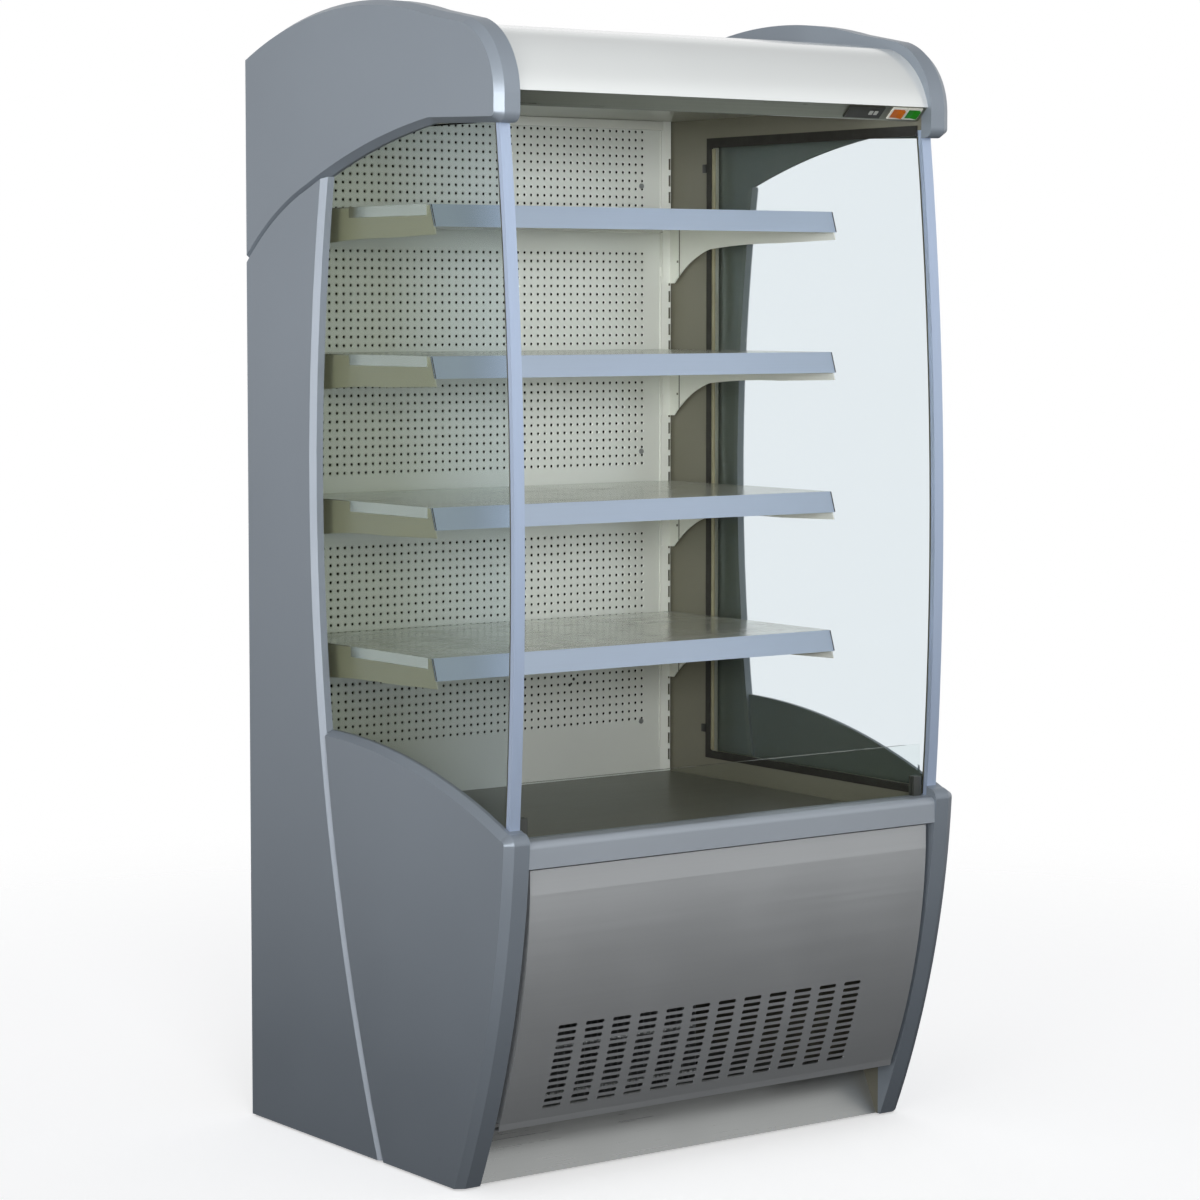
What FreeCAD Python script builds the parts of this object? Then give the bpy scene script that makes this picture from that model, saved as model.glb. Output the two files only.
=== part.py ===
"""Open-front multideck display fridge: glazed sides, four shelves, cooling unit in the base.

Frame: +Z up, +X to the right of someone facing the front, the front faces -Y.
The origin is on the floor, under the middle of the whole cabinet. Millimetres.
"""
import FreeCAD, Part
import math
import os
import Sketcher

V = FreeCAD.Vector

SIZES = {
    # whole cabinet
    "width": 950,
    "depth": 805,
    "tall": 1950,
    "side_thick": 45,            # each end wall, skin and glazing together
    "skin_thick": 22,            # painted outer skin of an end wall
    "skin_lift": 3,              # end walls clear the floor by this
    "bevel_across": 15,          # bevel of the hood and lower side, measured across the wall
    "bevel_in": 9,               # the same bevel, measured in the face
    # hood cheeks
    "hood_crown_back": 352.5,    # crown of the arch, from the rear
    "hood_radius": 930,
    "hood_reach": 230,           # from the crown forward to the end of the arch
    "brow_back": 118.5,          # start of the brow, from the front
    "brow_drop": 48.5,
    "brow_mid_back": 64,
    "brow_mid_drop": 80,
    "hood_setback": 24,          # front of the hood, from the front of the cabinet
    "hood_nose_drop": 172,
    "hood_depth": 218,           # top of the cabinet to the hood's lower front edge
    "hood_corner": 17,
    "hood_under_back": 221.5,    # end of the straight lower edge, from the front
    "hood_under_drop": 212,
    "hood_arc_back": 425.5,
    "hood_arc_drop": 252,
    "hood_knee_back": 599.5,
    "hood_knee_drop": 309,
    "hood_heel_back": 702.5,
    "hood_heel_drop": 355.5,
    "hood_rear_drop": 431,
    # rear columns and their edge trims
    "column_bow_radius": 3201.5,
    "column_bow_height": 1142,   # where the column's front edge lies furthest back
    "column_bow_back": 597,      # the edge there, from the front
    "column_top_height": 1700,
    "trim_face": 9,              # depth of the trim in front of the column
    "trim_lip": 1.5,             # depth of the trim at the outer face
    "groove": 17,                # column edge to the lower side panel
    # lower side panels
    "belly_arc_back": 292.5,
    "belly_arc_height": 690,
    "belly_top_height": 717,
    "shoulder_round": 17.5,
    "belly_height": 585.5,       # where the cabinet is deepest
    "belly_mid_back": 32,
    "belly_mid_height": 350,
    "toe_back": 144.5,
    "wall_toe_back": 150.5,      # front edge of the inner side wall near the floor
    # glazing
    "liner_thick": 2,
    "pane_thick": 4,
    "spacer_thick": 12,
    "spacer_wide": 8,
    "glass_rear": 156.5,         # rear edge of the glass, from the rear of the cabinet
    "glass_top": 1746,
    "glass_bottom": 594,
    "gasket_wide": 14.5,
    "gasket_proud": 2,
    "gasket_cover": 10,          # how far the gasket laps onto the glass
    "gasket_top_wide": 18,
    "gasket_foot_wide": 14,
    "post_deep": 10,
    "post_bow_radius": 6015,
    "post_bow_height": 1038,     # where the post lies furthest forward
    "post_bow_back": 10,         # its face there, from the front
    "post_foot_drop": 4,
    "post_slack": 0.5,
    # body
    "ceiling_drop": 160,
    "roof_gap": 22,
    "roof_thick": 34,
    "rear_thick": 25,
    "duct_deep": 16,
    "panel_thick": 1.5,
    "deck_height": 553,
    "tub_height": 150,
    "tub_wall": 30,
    "rim_gap": 0.3,
    "tray_thick": 1.5,
    "tray_flange": 18,
    "tray_play": 2,
    "deck_front": 119.5,         # front edge of the deck tray, from the front
    # canopy
    "canopy_thick": 1.5,
    "canopy_rear_back": 375,
    "canopy_rear_drop": 34,
    "canopy_mid_back": 230.5,
    "canopy_mid_drop": 48,
    "canopy_brow_back": 133.5,
    "canopy_brow_drop": 61,
    "canopy_curl_back": 70.5,
    "canopy_curl_drop": 98,
    "canopy_front_back": 32.5,
    "canopy_front_drop": 166,
    "nose_back": 59.5,
    "nose_drop": 188.5,
    "nose_flat": 9,
    "honeycomb_deep": 40,
    "honeycomb_thick": 20,
    "honeycomb_cell": 8,
    "honeycomb_pitch": 11,
    "honeycomb_cells": 74,       # along each row
    "lamp_radius": 8,
    "lamp_length": 780,
    "lamp_back": 150,
    "lamp_holder": 20,
    "lamp_gap": 2,
    # controls, on the slope of the nose
    "bezel_left": 258,
    "bezel_wide": 79,
    "bezel_proud": 2.5,
    "control_through": 1,        # cuts and cap roots run on by this behind the slope
    "control_margin": 3,
    "control_tall": 26,
    "rocker_wide": 24,
    "rocker_pitch": 34,
    "rocker_gap": 1,
    "rocker_frame": 3,
    "rocker_tilt": 7,
    "rocker_deep": 9,
    "rocker_rise": 2,            # ends of a rocker, proud of its frame
    "rocker_dip": 0.5,           # middle of a rocker, proud of its frame
    "rocker_skirt": 1,
    "key_wide": 7,
    "key_tall": 8,
    "key_gap": 0.5,
    "key_pitch": 11,
    "key_from_end": 15,
    # shelves
    "shelf_count": 4,
    "first_shelf": 307,          # deck to the lowest shelf's top
    "slot_pitch": 31.25,
    "slots_per_shelf": 8,
    "slot_tall": 21,
    "slot_wide": 5,
    "slot_count": 37,
    "upright_wide": 24,
    "upright_gap": 3,
    "upright_web": 2,
    "upright_lip": 2,            # slot to the web beside it
    "slots_below": 8,            # slots under the lowest shelf
    "hook_x": 5.7,               # middle of a bracket plate, from the liner
    "hook_seat": 36,             # shelf top to the lower edge of the top hook's neck
    "hook_neck": 8,
    "hook_nose": 7,
    "hook_clear": 0.4,
    "hook_thick": 4,
    "bracket_thick": 2,
    "bracket_drop": 125.5,
    "bracket_flange": 20,
    "bracket_gap": 0.4,
    "bracket_hooks_apart": 2,    # slots from one hook to the next
    "bracket_heel": 15,          # foot of a bracket to where its curve starts
    "bracket_arc_back": 702.5,
    "bracket_arc_drop": 90,
    "bracket_knee_back": 638.5,
    "bracket_knee_drop": 62.5,
    "bracket_waist_back": 575,
    "bracket_waist_drop": 57.5,
    "bracket_arm_back": 426.5,
    "bracket_arm_drop": 54,
    "bracket_nose_gap": 4,       # front edge of a bracket, behind the shelf's edge
    "bracket_slope": 3,
    "shelf_front": 285.5,        # shelf edge, from the front of the cabinet
    "shelf_end_gap": 3,
    "shelf_rear_gap": 5,
    "shelf_sheet": 1.2,
    "shelf_side_flange": 18,
    "shelf_flange_start": 10,    # front edge of the sheet to its end flange
    "shelf_flange_back": 540,    # rear end of the end flange, from the front
    "shelf_edge_flange": 30,
    "rail_drop": 37,
    "rail_lean": 12.5,
    "rail_thick": 2.5,
    "bracket_tip_back": 269.5,
    "bracket_tip_drop": 50,
    # front rail, riser glass, return grille
    "rail_setback": 3,
    "rail_top": 36,              # above the deck
    "rail_foot": 8,              # below the deck
    "rail_deep": 47.5,
    "rail_round": 12,
    "riser_thick": 6,
    "riser_tall": 90,
    "riser_inset": 39.5,
    "clamp_wide": 17,
    "clamp_tall": 34,
    "clamp_lap": 4,
    "grille_deep": 66,
    "grille_slot_long": 10,
    "grille_slot_wide": 4,
    "grille_pitch": 15,
    "grille_row_pitch": 16,
    "grille_slots": 54,
    "grille_slot_rows": 3,
    # service panel and kickplate
    "service_wide": 840,
    "service_thick": 1.5,
    "service_flange": 20,
    "service_top": 541,
    "service_top_back": 14.5,
    "service_bend": 500,
    "service_mid_back": 46.5,
    "service_mid_height": 275,
    "service_foot_back": 102.5,
    "service_foot": 111,
    "service_lip": 11,
    "service_lip_lean": 3,
    "slit_long": 37.5,
    "slit_wide": 6.4,
    "slit_pitch": 11.7,
    "slit_rows": 13,
    "slit_columns": 12,
    "slit_column_pitch": 55,
    "slit_first_x": -322.5,
    "slit_first_height": 132,
    "pin_back": 114.5,
    "pin_height": 114,
    "pin_radius": 3,
    "pin_play": 0.1,
    "pin_seat": 4,               # how far a pin reaches into the panel
    "kick_top": 100,
    "kick_top_back": 202.5,
    "kick_foot_back": 155.5,
    "kick_flange": 12,
    # machine compartment
    "chassis_height": 50,
    "chassis_flange": 26,
    "chassis_sheet": 2,
    "chassis_front": 180,
    "foot_radius": 20,
    "foot_thick": 10,
    "foot_inset": 45,
    "foot_stem": 5,
    "compressor_radius": 92,
    "compressor_tall": 130,
    "compressor_dome": 50,
    "seam_proud": 3,
    "seam_low": 14,              # lower edge of the seam, under the dome
    "seam_high": 6,
    "base_proud": 12,
    "base_thick": 4,
    "base_narrow": 0.6,          # depth of the base plate over its width
    "terminal_wide": 44,
    "terminal_proud": 24,
    "terminal_root": 12,
    "terminal_low": 50,
    "terminal_tall": 55,
    "compressor_x": 190,
    "compressor_y": 150,
    "condenser_left": -320,
    "condenser_wide": 400,
    "condenser_tall": 280,
    "condenser_deep": 55,
    "condenser_back": 225,
    "fin_pitch": 14,
    "fin_thick": 1,
    "tube_radius": 4.5,
    "tube_pitch": 40,
    "tube_rows": 2,
    "shroud_deep": 30,
    "shroud_sheet": 2,
    "fan_radius": 110,
    "fan_ring_gap": 6,
    "fan_hub": 24,
    "fan_deep": 22,
    "blade_thick": 2,
    "blade_share": 0.55,         # width of a blade over the fan's radius
    "blade_tilt": 24,
    "blade_count": 5,
    "blade_root": 2,
    "bore_cap": 3,               # closed end of the hub's bore
    "motor_radius": 38,
    "motor_long": 55,
    "shaft_radius": 4,
    "shaft_play": 0.1,
    "motor_gap": 4,
    "arm_wide": 12,
    "arm_thick": 3,
    "arm_root": 4,
    "shaft_start": 6,            # end of the shaft, into the fan
    "evaporator_wide": 660,
    "evaporator_deep": 130,
    "evaporator_tall": 90,
    "evaporator_back": 150,
    "fan_plate_back": 400,
    "small_fan_radius": 42,
    "small_fan_hub": 14,
    "small_motor_radius": 20,
    "small_motor_long": 34,
    "grille_recess": 14.5,
    "louvre_long": 90,
    "louvre_gap": 24,
    "louvre_lift": 130,          # foot of the grille to its first row
    "louvre_wide": 8,
    "louvre_rows": 9,
    "louvre_columns": 6,
    "gland_bore": 4.5,
    "gland_radius": 9,
    "gland_nut": 13,
    "gland_long": 24,
    "gland_x": 340,
    "gland_height": 110,
    "gland_back": 2,             # outer end of the gland, inside the rear line
    "screw_head": 5,
    "screw_shank": 2,
    "screw_play": 0.2,
    "screw_head_thick": 2.5,
    "screw_long": 10,
    "screw_x": 356.5,
    "screw_lift": 57,            # over the shelf below it
    "low_screw_lift": 100,       # lowest screws over the deck
    "screw_slot": 0.2,           # the holes are longer than wide by this
}

doc = FreeCAD.newDocument("DisplayFridge")
sheet = doc.addObject("Spreadsheet::Sheet", "Sizes")
for row, (alias, number) in enumerate(SIZES.items(), start=1):
    sheet.set(f"A{row}", alias)
    sheet.set(f"B{row}", str(number))
    sheet.setAlias(f"B{row}", alias)
doc.recompute()


class Size:
    """A length written as an expression over the sheet, with its present value."""

    def __init__(self, text, value):
        self.text = text
        self.value = float(value)

    @staticmethod
    def of(item):
        if isinstance(item, Size):
            return item
        return Size(f"({float(item):.6f})", item)

    def joined(self, sign, other, value):
        return Size(f"({self.text} {sign} {other.text})", value)

    def __add__(self, other):
        other = Size.of(other)
        return self.joined("+", other, self.value + other.value)

    def __sub__(self, other):
        other = Size.of(other)
        return self.joined("-", other, self.value - other.value)

    def __mul__(self, other):
        other = Size.of(other)
        return self.joined("*", other, self.value * other.value)

    def __truediv__(self, other):
        other = Size.of(other)
        return self.joined("/", other, self.value / other.value)

    def __rsub__(self, other):
        return Size.of(other) - self

    def __neg__(self):
        return Size(f"(0 - {self.text})", -self.value)

    __radd__ = __add__
    __rmul__ = __mul__


def root(size):
    return Size(f"sqrt({size.text})", math.sqrt(size.value))


def cell(alias):
    return Size(f"Sizes.{alias}", sheet.get(alias))


class Named:
    """Reads a named size of the sheet: S.width and so on."""

    def __getattr__(self, alias):
        return cell(alias)


S = Named()


def bind(thing, prop, size):
    thing.setExpression(prop, Size.of(size).text)


# ---------------------------------------------------------------- outlines

class Arc:
    """Middle point of an arc that joins the points before and after it."""

    def __init__(self, first, second):
        self.point = (first, second)


def flat(point):
    return V(Size.of(point[0]).value, Size.of(point[1]).value, 0)


def edges_of(path, closed=True):
    """The path as (start, middle or None, end) for each edge."""
    items = list(path) + ([path[0]] if closed else [])
    edges = []
    start = items[0]
    middle = None
    for item in items[1:]:
        if isinstance(item, Arc):
            middle = item.point
            continue
        edges.append((start, middle, item))
        start = item
        middle = None
    return edges


def directions(edge):
    """Unit directions of travel at the start, the middle and the end of an edge."""
    start, middle, end = edge
    first = flat(start)
    last = flat(end)
    if middle is None:
        along = (last - first).normalize()
        return along, along, along
    half_way = flat(middle)
    centre = Part.Arc(first, half_way, last).toShape().Curve.Center
    turn = 1 if (half_way - first).cross(last - first).z > 0 else -1
    result = []
    for point in (first, half_way, last):
        spoke = (point - centre).normalize()
        result.append(V(-spoke.y * turn, spoke.x * turn, 0))
    return tuple(result)


def left_of(direction):
    return V(-direction.y, direction.x, 0)


def moved(point, normal, distance):
    return (point[0] + Size.of(distance) * normal.x, point[1] + Size.of(distance) * normal.y)


def corner(point, before, after, step_before, step_after):
    """A corner moved so that each edge beside it shifts to its left by its own step."""
    one = left_of(before)
    two = left_of(after)
    twist = one.x * two.y - one.y * two.x
    if abs(twist) < 0.08:
        middle = (one + two).normalize()
        return moved(point, middle, (Size.of(step_before) + step_after) / 2)
    pull_one = V(two.y / twist, -two.x / twist, 0)
    pull_two = V(-one.y / twist, one.x / twist, 0)
    return moved(moved(point, pull_one, step_before), pull_two, step_after)


def shifted(path, steps, closed=True):
    """The path with each edge moved to its left by its step."""
    edges = edges_of(path, closed)
    if not isinstance(steps, (list, tuple)):
        steps = [steps] * len(edges)
    ways = [directions(edge) for edge in edges]
    result = []
    for index, edge in enumerate(edges):
        if index == 0 and not closed:
            result.append(moved(edge[0], left_of(ways[0][0]), steps[0]))
        else:
            result.append(corner(edge[0], ways[index - 1][2], ways[index][0],
                                 steps[index - 1], steps[index]))
        if edge[1] is not None:
            result.append(Arc(*moved(edge[1], left_of(ways[index][1]), steps[index])))
    if not closed:
        result.append(moved(edges[-1][2], left_of(ways[-1][2]), steps[-1]))
    return result


def band(path, thickness):
    """Closed outline between an open path and the same path moved to its left."""
    return list(path) + list(reversed(shifted(path, thickness, closed=False)))


def origin_plane(body, role):
    return [feature for feature in body.Origin.OriginFeatures if feature.Role == role][0]


def draw(sketch, path):
    """Draw a closed path in a sketch, each of its points held by its sizes."""
    edges = edges_of(path)
    ends = []
    rules = []
    bound = []
    middles = []
    for start, middle, end in edges:
        first = flat(start)
        last = flat(end)
        if middle is None:
            number = sketch.addGeometry(Part.LineSegment(first, last), False)
            ends.append((number, 1, 2))
            continue
        half_way = flat(middle)
        forward = (half_way - first).cross(last - first).z > 0
        arc = Part.Arc(first, half_way, last) if forward else Part.Arc(last, half_way, first)
        number = sketch.addGeometry(arc, False)
        ends.append((number, 1, 2) if forward else (number, 2, 1))
        mark = sketch.addGeometry(Part.Point(half_way), True)
        middles.append((mark, number, middle))
    for this, following in zip(ends, ends[1:] + ends[:1]):
        rules.append(Sketcher.Constraint("Coincident", this[0], this[2], following[0], following[1]))
    fixed = [(end[0], end[1], edge[0]) for end, edge in zip(ends, edges)]
    for mark, number, middle in middles:
        rules.append(Sketcher.Constraint("PointOnObject", mark, 1, number))
        fixed.append((mark, 1, middle))
    for number, place, point in fixed:
        for kind, size in zip(("DistanceX", "DistanceY"), point):
            size = Size.of(size)
            bound.append((sketch.ConstraintCount + len(rules), size))
            rules.append(Sketcher.Constraint(kind, -1, 1, number, place, size.value))
    sketch.addConstraint(rules)
    for number, size in bound:
        sketch.setExpression(f"Constraints[{number}]", size.text)


def outline_sketch(body, name, plane, path, start):
    """A sketch on one of the body's own planes, moved along the axis it faces."""
    sketch = body.newObject("Sketcher::SketchObject", name)
    sketch.AttachmentSupport = [(origin_plane(body, plane + "_Plane"), "")]
    sketch.MapMode = "FlatFace"
    start = Size.of(start)
    bind(sketch, "AttachmentOffset.Base.z", -start if plane == "XZ" else start)
    draw(sketch, path)
    return sketch


def plate(name, plane, path, span):
    """A body of constant thickness: an outline padded over the span of the third axis."""
    low, high = span
    body = doc.addObject("PartDesign::Body", name)
    start = high if plane == "XZ" else low
    sketch = outline_sketch(body, name + "_outline", plane, path, start)
    pad = body.newObject("PartDesign::Pad", name + "_pad")
    pad.Profile = sketch
    bind(pad, "Length", Size.of(high) - low)
    return body


def loft(body, name, plane, sections):
    """Add a ruled loft between outlines at two or more places of the third axis."""
    sketches = []
    for number, (path, place) in enumerate(sections):
        sketches.append(outline_sketch(body, f"{name}_section{number}", plane, path, place))
    feature = body.newObject("PartDesign::AdditiveLoft", name)
    feature.Profile = sketches[0]
    feature.Sections = sketches[1:]
    feature.Ruled = True
    feature.Closed = False


def box(name, x, y, z):
    """A box from low and high values of each axis."""
    solid = doc.addObject("Part::Box", name)
    for side, axis, (low, high) in zip(("Length", "Width", "Height"), "xyz", (x, y, z)):
        bind(solid, side, Size.of(high) - low)
        bind(solid, "Placement.Base." + axis, low)
    return solid


TURNS = {
    "X": FreeCAD.Rotation(V(0, 1, 0), 90),
    "Y": FreeCAD.Rotation(V(1, 0, 0), -90),
    "Z": FreeCAD.Rotation(),
}


def rod(name, axis, radius, centre, span):
    """A cylinder along an axis; centre gives the two other coordinates in X, Y, Z order."""
    low, high = span
    solid = doc.addObject("Part::Cylinder", name)
    solid.Placement = FreeCAD.Placement(V(0, 0, 0), TURNS[axis])
    bind(solid, "Radius", radius)
    bind(solid, "Height", Size.of(high) - low)
    others = [letter for letter in "XYZ" if letter != axis]
    bind(solid, "Placement.Base." + axis.lower(), low)
    for letter, place in zip(others, centre):
        bind(solid, "Placement.Base." + letter.lower(), place)
    return solid


def fuse(name, parts):
    joined = doc.addObject("Part::MultiFuse", name)
    joined.Shapes = parts
    joined.Refine = True
    return joined


def group(name, parts):
    gathered = doc.addObject("Part::Compound", name)
    gathered.Links = parts
    return gathered


def cut(name, base, tools):
    trimmed = doc.addObject("Part::Cut", name)
    trimmed.Base = base
    trimmed.Tool = tools[0] if len(tools) == 1 else fuse(name + "_tools", tools)
    return trimmed


def mirror(name, source):
    other = doc.addObject("Part::Mirroring", name)
    other.Source = source
    other.Normal = V(1, 0, 0)
    return other


SUBPARTS = []


def keep(label, thing):
    """Name a finished sub-part and list it for writing."""
    thing.Label = label
    SUBPARTS.append(thing)
    return thing


def keep_pair(label, left):
    """A sub-part that has a like piece at each end of the cabinet."""
    return keep(label, group(label + "_pair", [left, mirror(label + "_other", left)]))


def keep_both(label, left):
    """Two sub-parts, one for each end of the cabinet."""
    keep(label + "_right", mirror(label + "_right", left))
    return keep(label + "_left", left)


def pattern(body, name, feature, plane_axis, count, pitch):
    """Repeat a feature of a body along one of its own axes."""
    doc.recompute()
    repeat = body.newObject("PartDesign::LinearPattern", name)
    repeat.Originals = [feature]
    repeat.Direction = (origin_plane(body, plane_axis + "_Axis"), [""])
    bind(repeat, "Length", Size.of(pitch) * (Size.of(count) - 1))
    bind(repeat, "Occurrences", count)
    body.Tip = repeat
    return repeat


def slot_path(x, z, long, wide, upright=False):
    """A slot with round ends, centred on a point."""
    half = Size.of(wide) / 2
    reach = Size.of(long) / 2 - half
    tip = Size.of(long) / 2
    if upright:
        return [(x - half, z - reach), Arc(x, z - tip), (x + half, z - reach),
                (x + half, z + reach), Arc(x, z + tip), (x - half, z + reach)]
    return [(x - reach, z - half), (x + reach, z - half), Arc(x + tip, z),
            (x + reach, z + half), (x - reach, z + half), Arc(x - tip, z)]


def rectangle(x, z):
    return [(x[0], z[0]), (x[1], z[0]), (x[1], z[1]), (x[0], z[1])]


def pocket(body, name, plane, paths, start):
    """Cut outlines right through the body, both ways from their plane."""
    sketch = outline_sketch(body, name + "_outline", plane, paths[0], start)
    for path in paths[1:]:
        draw(sketch, path)
    feature = body.newObject("PartDesign::Pocket", name)
    feature.Profile = sketch
    feature.Type = "ThroughAll"
    feature.Midplane = True
    return feature


# ---------------------------------------------------------------- shared places

front = -S.depth / 2
rear = S.depth / 2
top = S.tall
half = S.width / 2
inner = half - S.side_thick
skin = half - S.skin_thick
floor = S.skin_lift
ceiling = top - S.ceiling_drop
roof_under = ceiling + S.roof_gap
roof_top = roof_under + S.roof_thick
duct_back = rear - S.rear_thick
panel_face = duct_back - S.duct_deep - S.panel_thick
deck = S.deck_height
tub_rim = deck - S.tray_thick - S.rim_gap
tub_under = tub_rim - S.tub_height
rail_rear = front + S.rail_setback + S.rail_deep
liner_face = inner + S.liner_thick


def shelf_top(number):
    """Height of the top of a shelf, counted from 1 at the bottom."""
    return deck + S.first_shelf + S.slot_pitch * S.slots_per_shelf * (number - 1)


def bow(radius, rise):
    """How far an arc of this radius falls away at a rise from its middle."""
    return radius - root(radius * radius - rise * rise)


def column_edge(offset, head):
    """Front edge of the column from the floor up to a height, moved forward by the offset."""
    def at(height):
        fall = bow(S.column_bow_radius, height - S.column_bow_height)
        return front + S.column_bow_back - fall - offset, height
    return [at(floor), Arc(*at((floor + head) / 2)), at(Size.of(head))]


def post_face(height):
    """Front of the glass post at a height."""
    return front + S.post_bow_back + bow(S.post_bow_radius, height - S.post_bow_height)


def post_line(offset, foot):
    """Front face of the glass post from a height up to its top, moved back by the offset."""
    head = S.glass_top
    middle = (foot + head) / 2
    return [(post_face(foot) + offset, foot), Arc(post_face(middle) + offset, middle),
            (post_face(head) + offset, head)]


wall_front = post_face(top - S.hood_depth) - S.post_slack


# ---------------------------------------------------------------- end walls

def hood_path():
    """Outline of a hood cheek, seen from the right, clockwise from its top rear corner."""
    crown = rear - S.hood_crown_back
    crown_front = crown - S.hood_reach
    rear_height = top - bow(S.hood_radius, S.hood_crown_back)
    front_height = top - bow(S.hood_radius, S.hood_reach)
    face = front + S.hood_setback
    low = top - S.hood_depth
    bend = S.hood_corner * (1 - math.sqrt(0.5))
    return [
        (rear, rear_height),
        Arc(crown, top),
        (crown_front, front_height),
        (front + S.brow_back, top - S.brow_drop),
        Arc(front + S.brow_mid_back, top - S.brow_mid_drop),
        (face, top - S.hood_nose_drop),
        (face, low + S.hood_corner),
        Arc(face + bend, low + bend),
        (face + S.hood_corner, low),
        (front + S.hood_under_back, top - S.hood_under_drop),
        Arc(front + S.hood_arc_back, top - S.hood_arc_drop),
        (front + S.hood_knee_back, top - S.hood_knee_drop),
        Arc(front + S.hood_heel_back, top - S.hood_heel_drop),
        (rear, top - S.hood_rear_drop),
    ]


def bevelled_wall(name, path, plain_edges):
    """A left end wall with its outer edge bevelled, apart from the edges listed as plain."""
    steps = [0 if number in plain_edges else S.bevel_in for number in range(len(edges_of(path)))]
    turn = sum(flat(edge[0]).cross(flat(edge[2])).z for edge in edges_of(path))
    if turn < 0:
        steps = [-1 * Size.of(step) for step in steps]
    body = plate(name, "YZ", path, (-half + S.bevel_across, -inner))
    loft(body, name + "_bevel", "YZ", [(path, -half + S.bevel_across), (shifted(path, steps), -half)])
    return body


def hood_sides():
    path = hood_path()
    blank = plate("hood_blank", "YZ", path, (-half, -skin))
    rear_edge = len(edges_of(path)) - 1
    body = bevelled_wall("hood_body", path, [rear_edge])
    bay = box("hood_bay", (-skin, -inner), (wall_front, rear + 1),
              (top - S.hood_rear_drop - 1, ceiling))
    keep_both("hood_side", cut("hood_cheek", body, [bay]))
    return blank


def side_columns(hood_blank):
    edge = column_edge(-S.trim_lip, S.column_top_height)
    path = edge + [(rear, S.column_top_height), (rear, floor)]
    skin_plate = plate("column_plate", "YZ", path, (-half, -skin))
    keep_both("side_column", cut("column_skin", skin_plate, [hood_blank]))


def column_trims(hood_blank):
    head = S.column_top_height
    back = list(reversed(column_edge(-S.trim_lip, head)))
    lip = column_edge(0, head) + back
    full = column_edge(S.trim_face, head) + back
    body = plate("trim_strip", "YZ", full, (-half + S.trim_face, -skin))
    loft(body, "trim_bevel", "YZ", [(full, -half + S.trim_face), (lip, -half)])
    keep_pair("column_trims", cut("trim_cut", body, [hood_blank]))


def lower_sides():
    soft = S.shoulder_round
    bend = soft * (1 - math.sqrt(0.5))
    path = column_edge(S.groove, S.belly_top_height) + [
        Arc(front + S.belly_arc_back, S.belly_arc_height),
        (front + soft, S.belly_height + soft),
        Arc(front + bend, S.belly_height + soft - bend),
        (front, S.belly_height),
        Arc(front + S.belly_mid_back, S.belly_mid_height),
        (front + S.toe_back, floor),
    ]
    body = bevelled_wall("lower_body", path, [0, len(edges_of(path)) - 1])
    shelf = S.glass_bottom - S.post_foot_drop
    over = S.belly_top_height + 10
    bays = [
        box("lower_bay_wall", (-skin, -inner), (front + S.wall_toe_back, rear), (0, over)),
        box("lower_bay_liner", (-skin, -inner), (wall_front, rear), (deck - S.rail_foot, over)),
        box("lower_bay_post", (-skin, -inner), (post_face(shelf + soft) - S.post_slack, rear), (shelf, over)),
    ]
    keep_both("lower_side", cut("lower_skin", body, bays))


def side_walls():
    wall = box("wall_block", (-skin, -inner), (wall_front, rear), (floor, ceiling))
    window_rear = rear - S.glass_rear
    lap = S.gasket_cover
    before = wall_front - 1
    tools = [
        box("wall_toe", (-skin - 1, -inner + 1), (before, front + S.wall_toe_back),
            (0, deck - S.rail_foot)),
        box("wall_window", (-skin - 1, -liner_face), (before, window_rear),
            (S.glass_bottom, S.glass_top)),
        box("wall_frame", (-liner_face, -inner + 1), (before, window_rear - lap + S.gasket_wide),
            (S.glass_bottom + lap - S.gasket_foot_wide, S.glass_top - lap + S.gasket_top_wide)),
    ]
    keep_pair("side_walls", cut("wall_left", wall, tools))


def glass_outline():
    """Outline of the glazing unit, anticlockwise from its lower front corner."""
    foot, middle, head = post_line(S.post_deep, S.glass_bottom)
    window_rear = rear - S.glass_rear
    return [foot, (window_rear, S.glass_bottom), (window_rear, S.glass_top), head, middle]


def glazing():
    outline = glass_outline()
    inner_pane = (-liner_face - S.pane_thick, -liner_face)
    spacer = (inner_pane[0] - S.spacer_thick, inner_pane[0])
    outer_pane = (spacer[0] - S.pane_thick, spacer[0])
    panes = [plate("pane_inner", "YZ", outline, inner_pane), plate("pane_outer", "YZ", outline, outer_pane)]
    panes += [mirror(pane.Name + "_other", pane) for pane in panes]
    keep("side_glass", group("side_glass_panes", panes))
    frame = plate("spacer_frame", "YZ", outline, spacer)
    hole = plate("spacer_hole", "YZ", shifted(outline, S.spacer_wide), (spacer[0] - 1, spacer[1] + 1))
    keep_pair("glass_spacers", cut("spacer_left", frame, [hole]))
    foot = S.glass_bottom - S.post_foot_drop
    section = post_line(0, foot) + list(reversed(post_line(S.post_deep, foot)))
    post = plate("post_bar", "YZ", section, (outer_pane[0], -liner_face))
    keep_pair("glass_posts", post)


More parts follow.
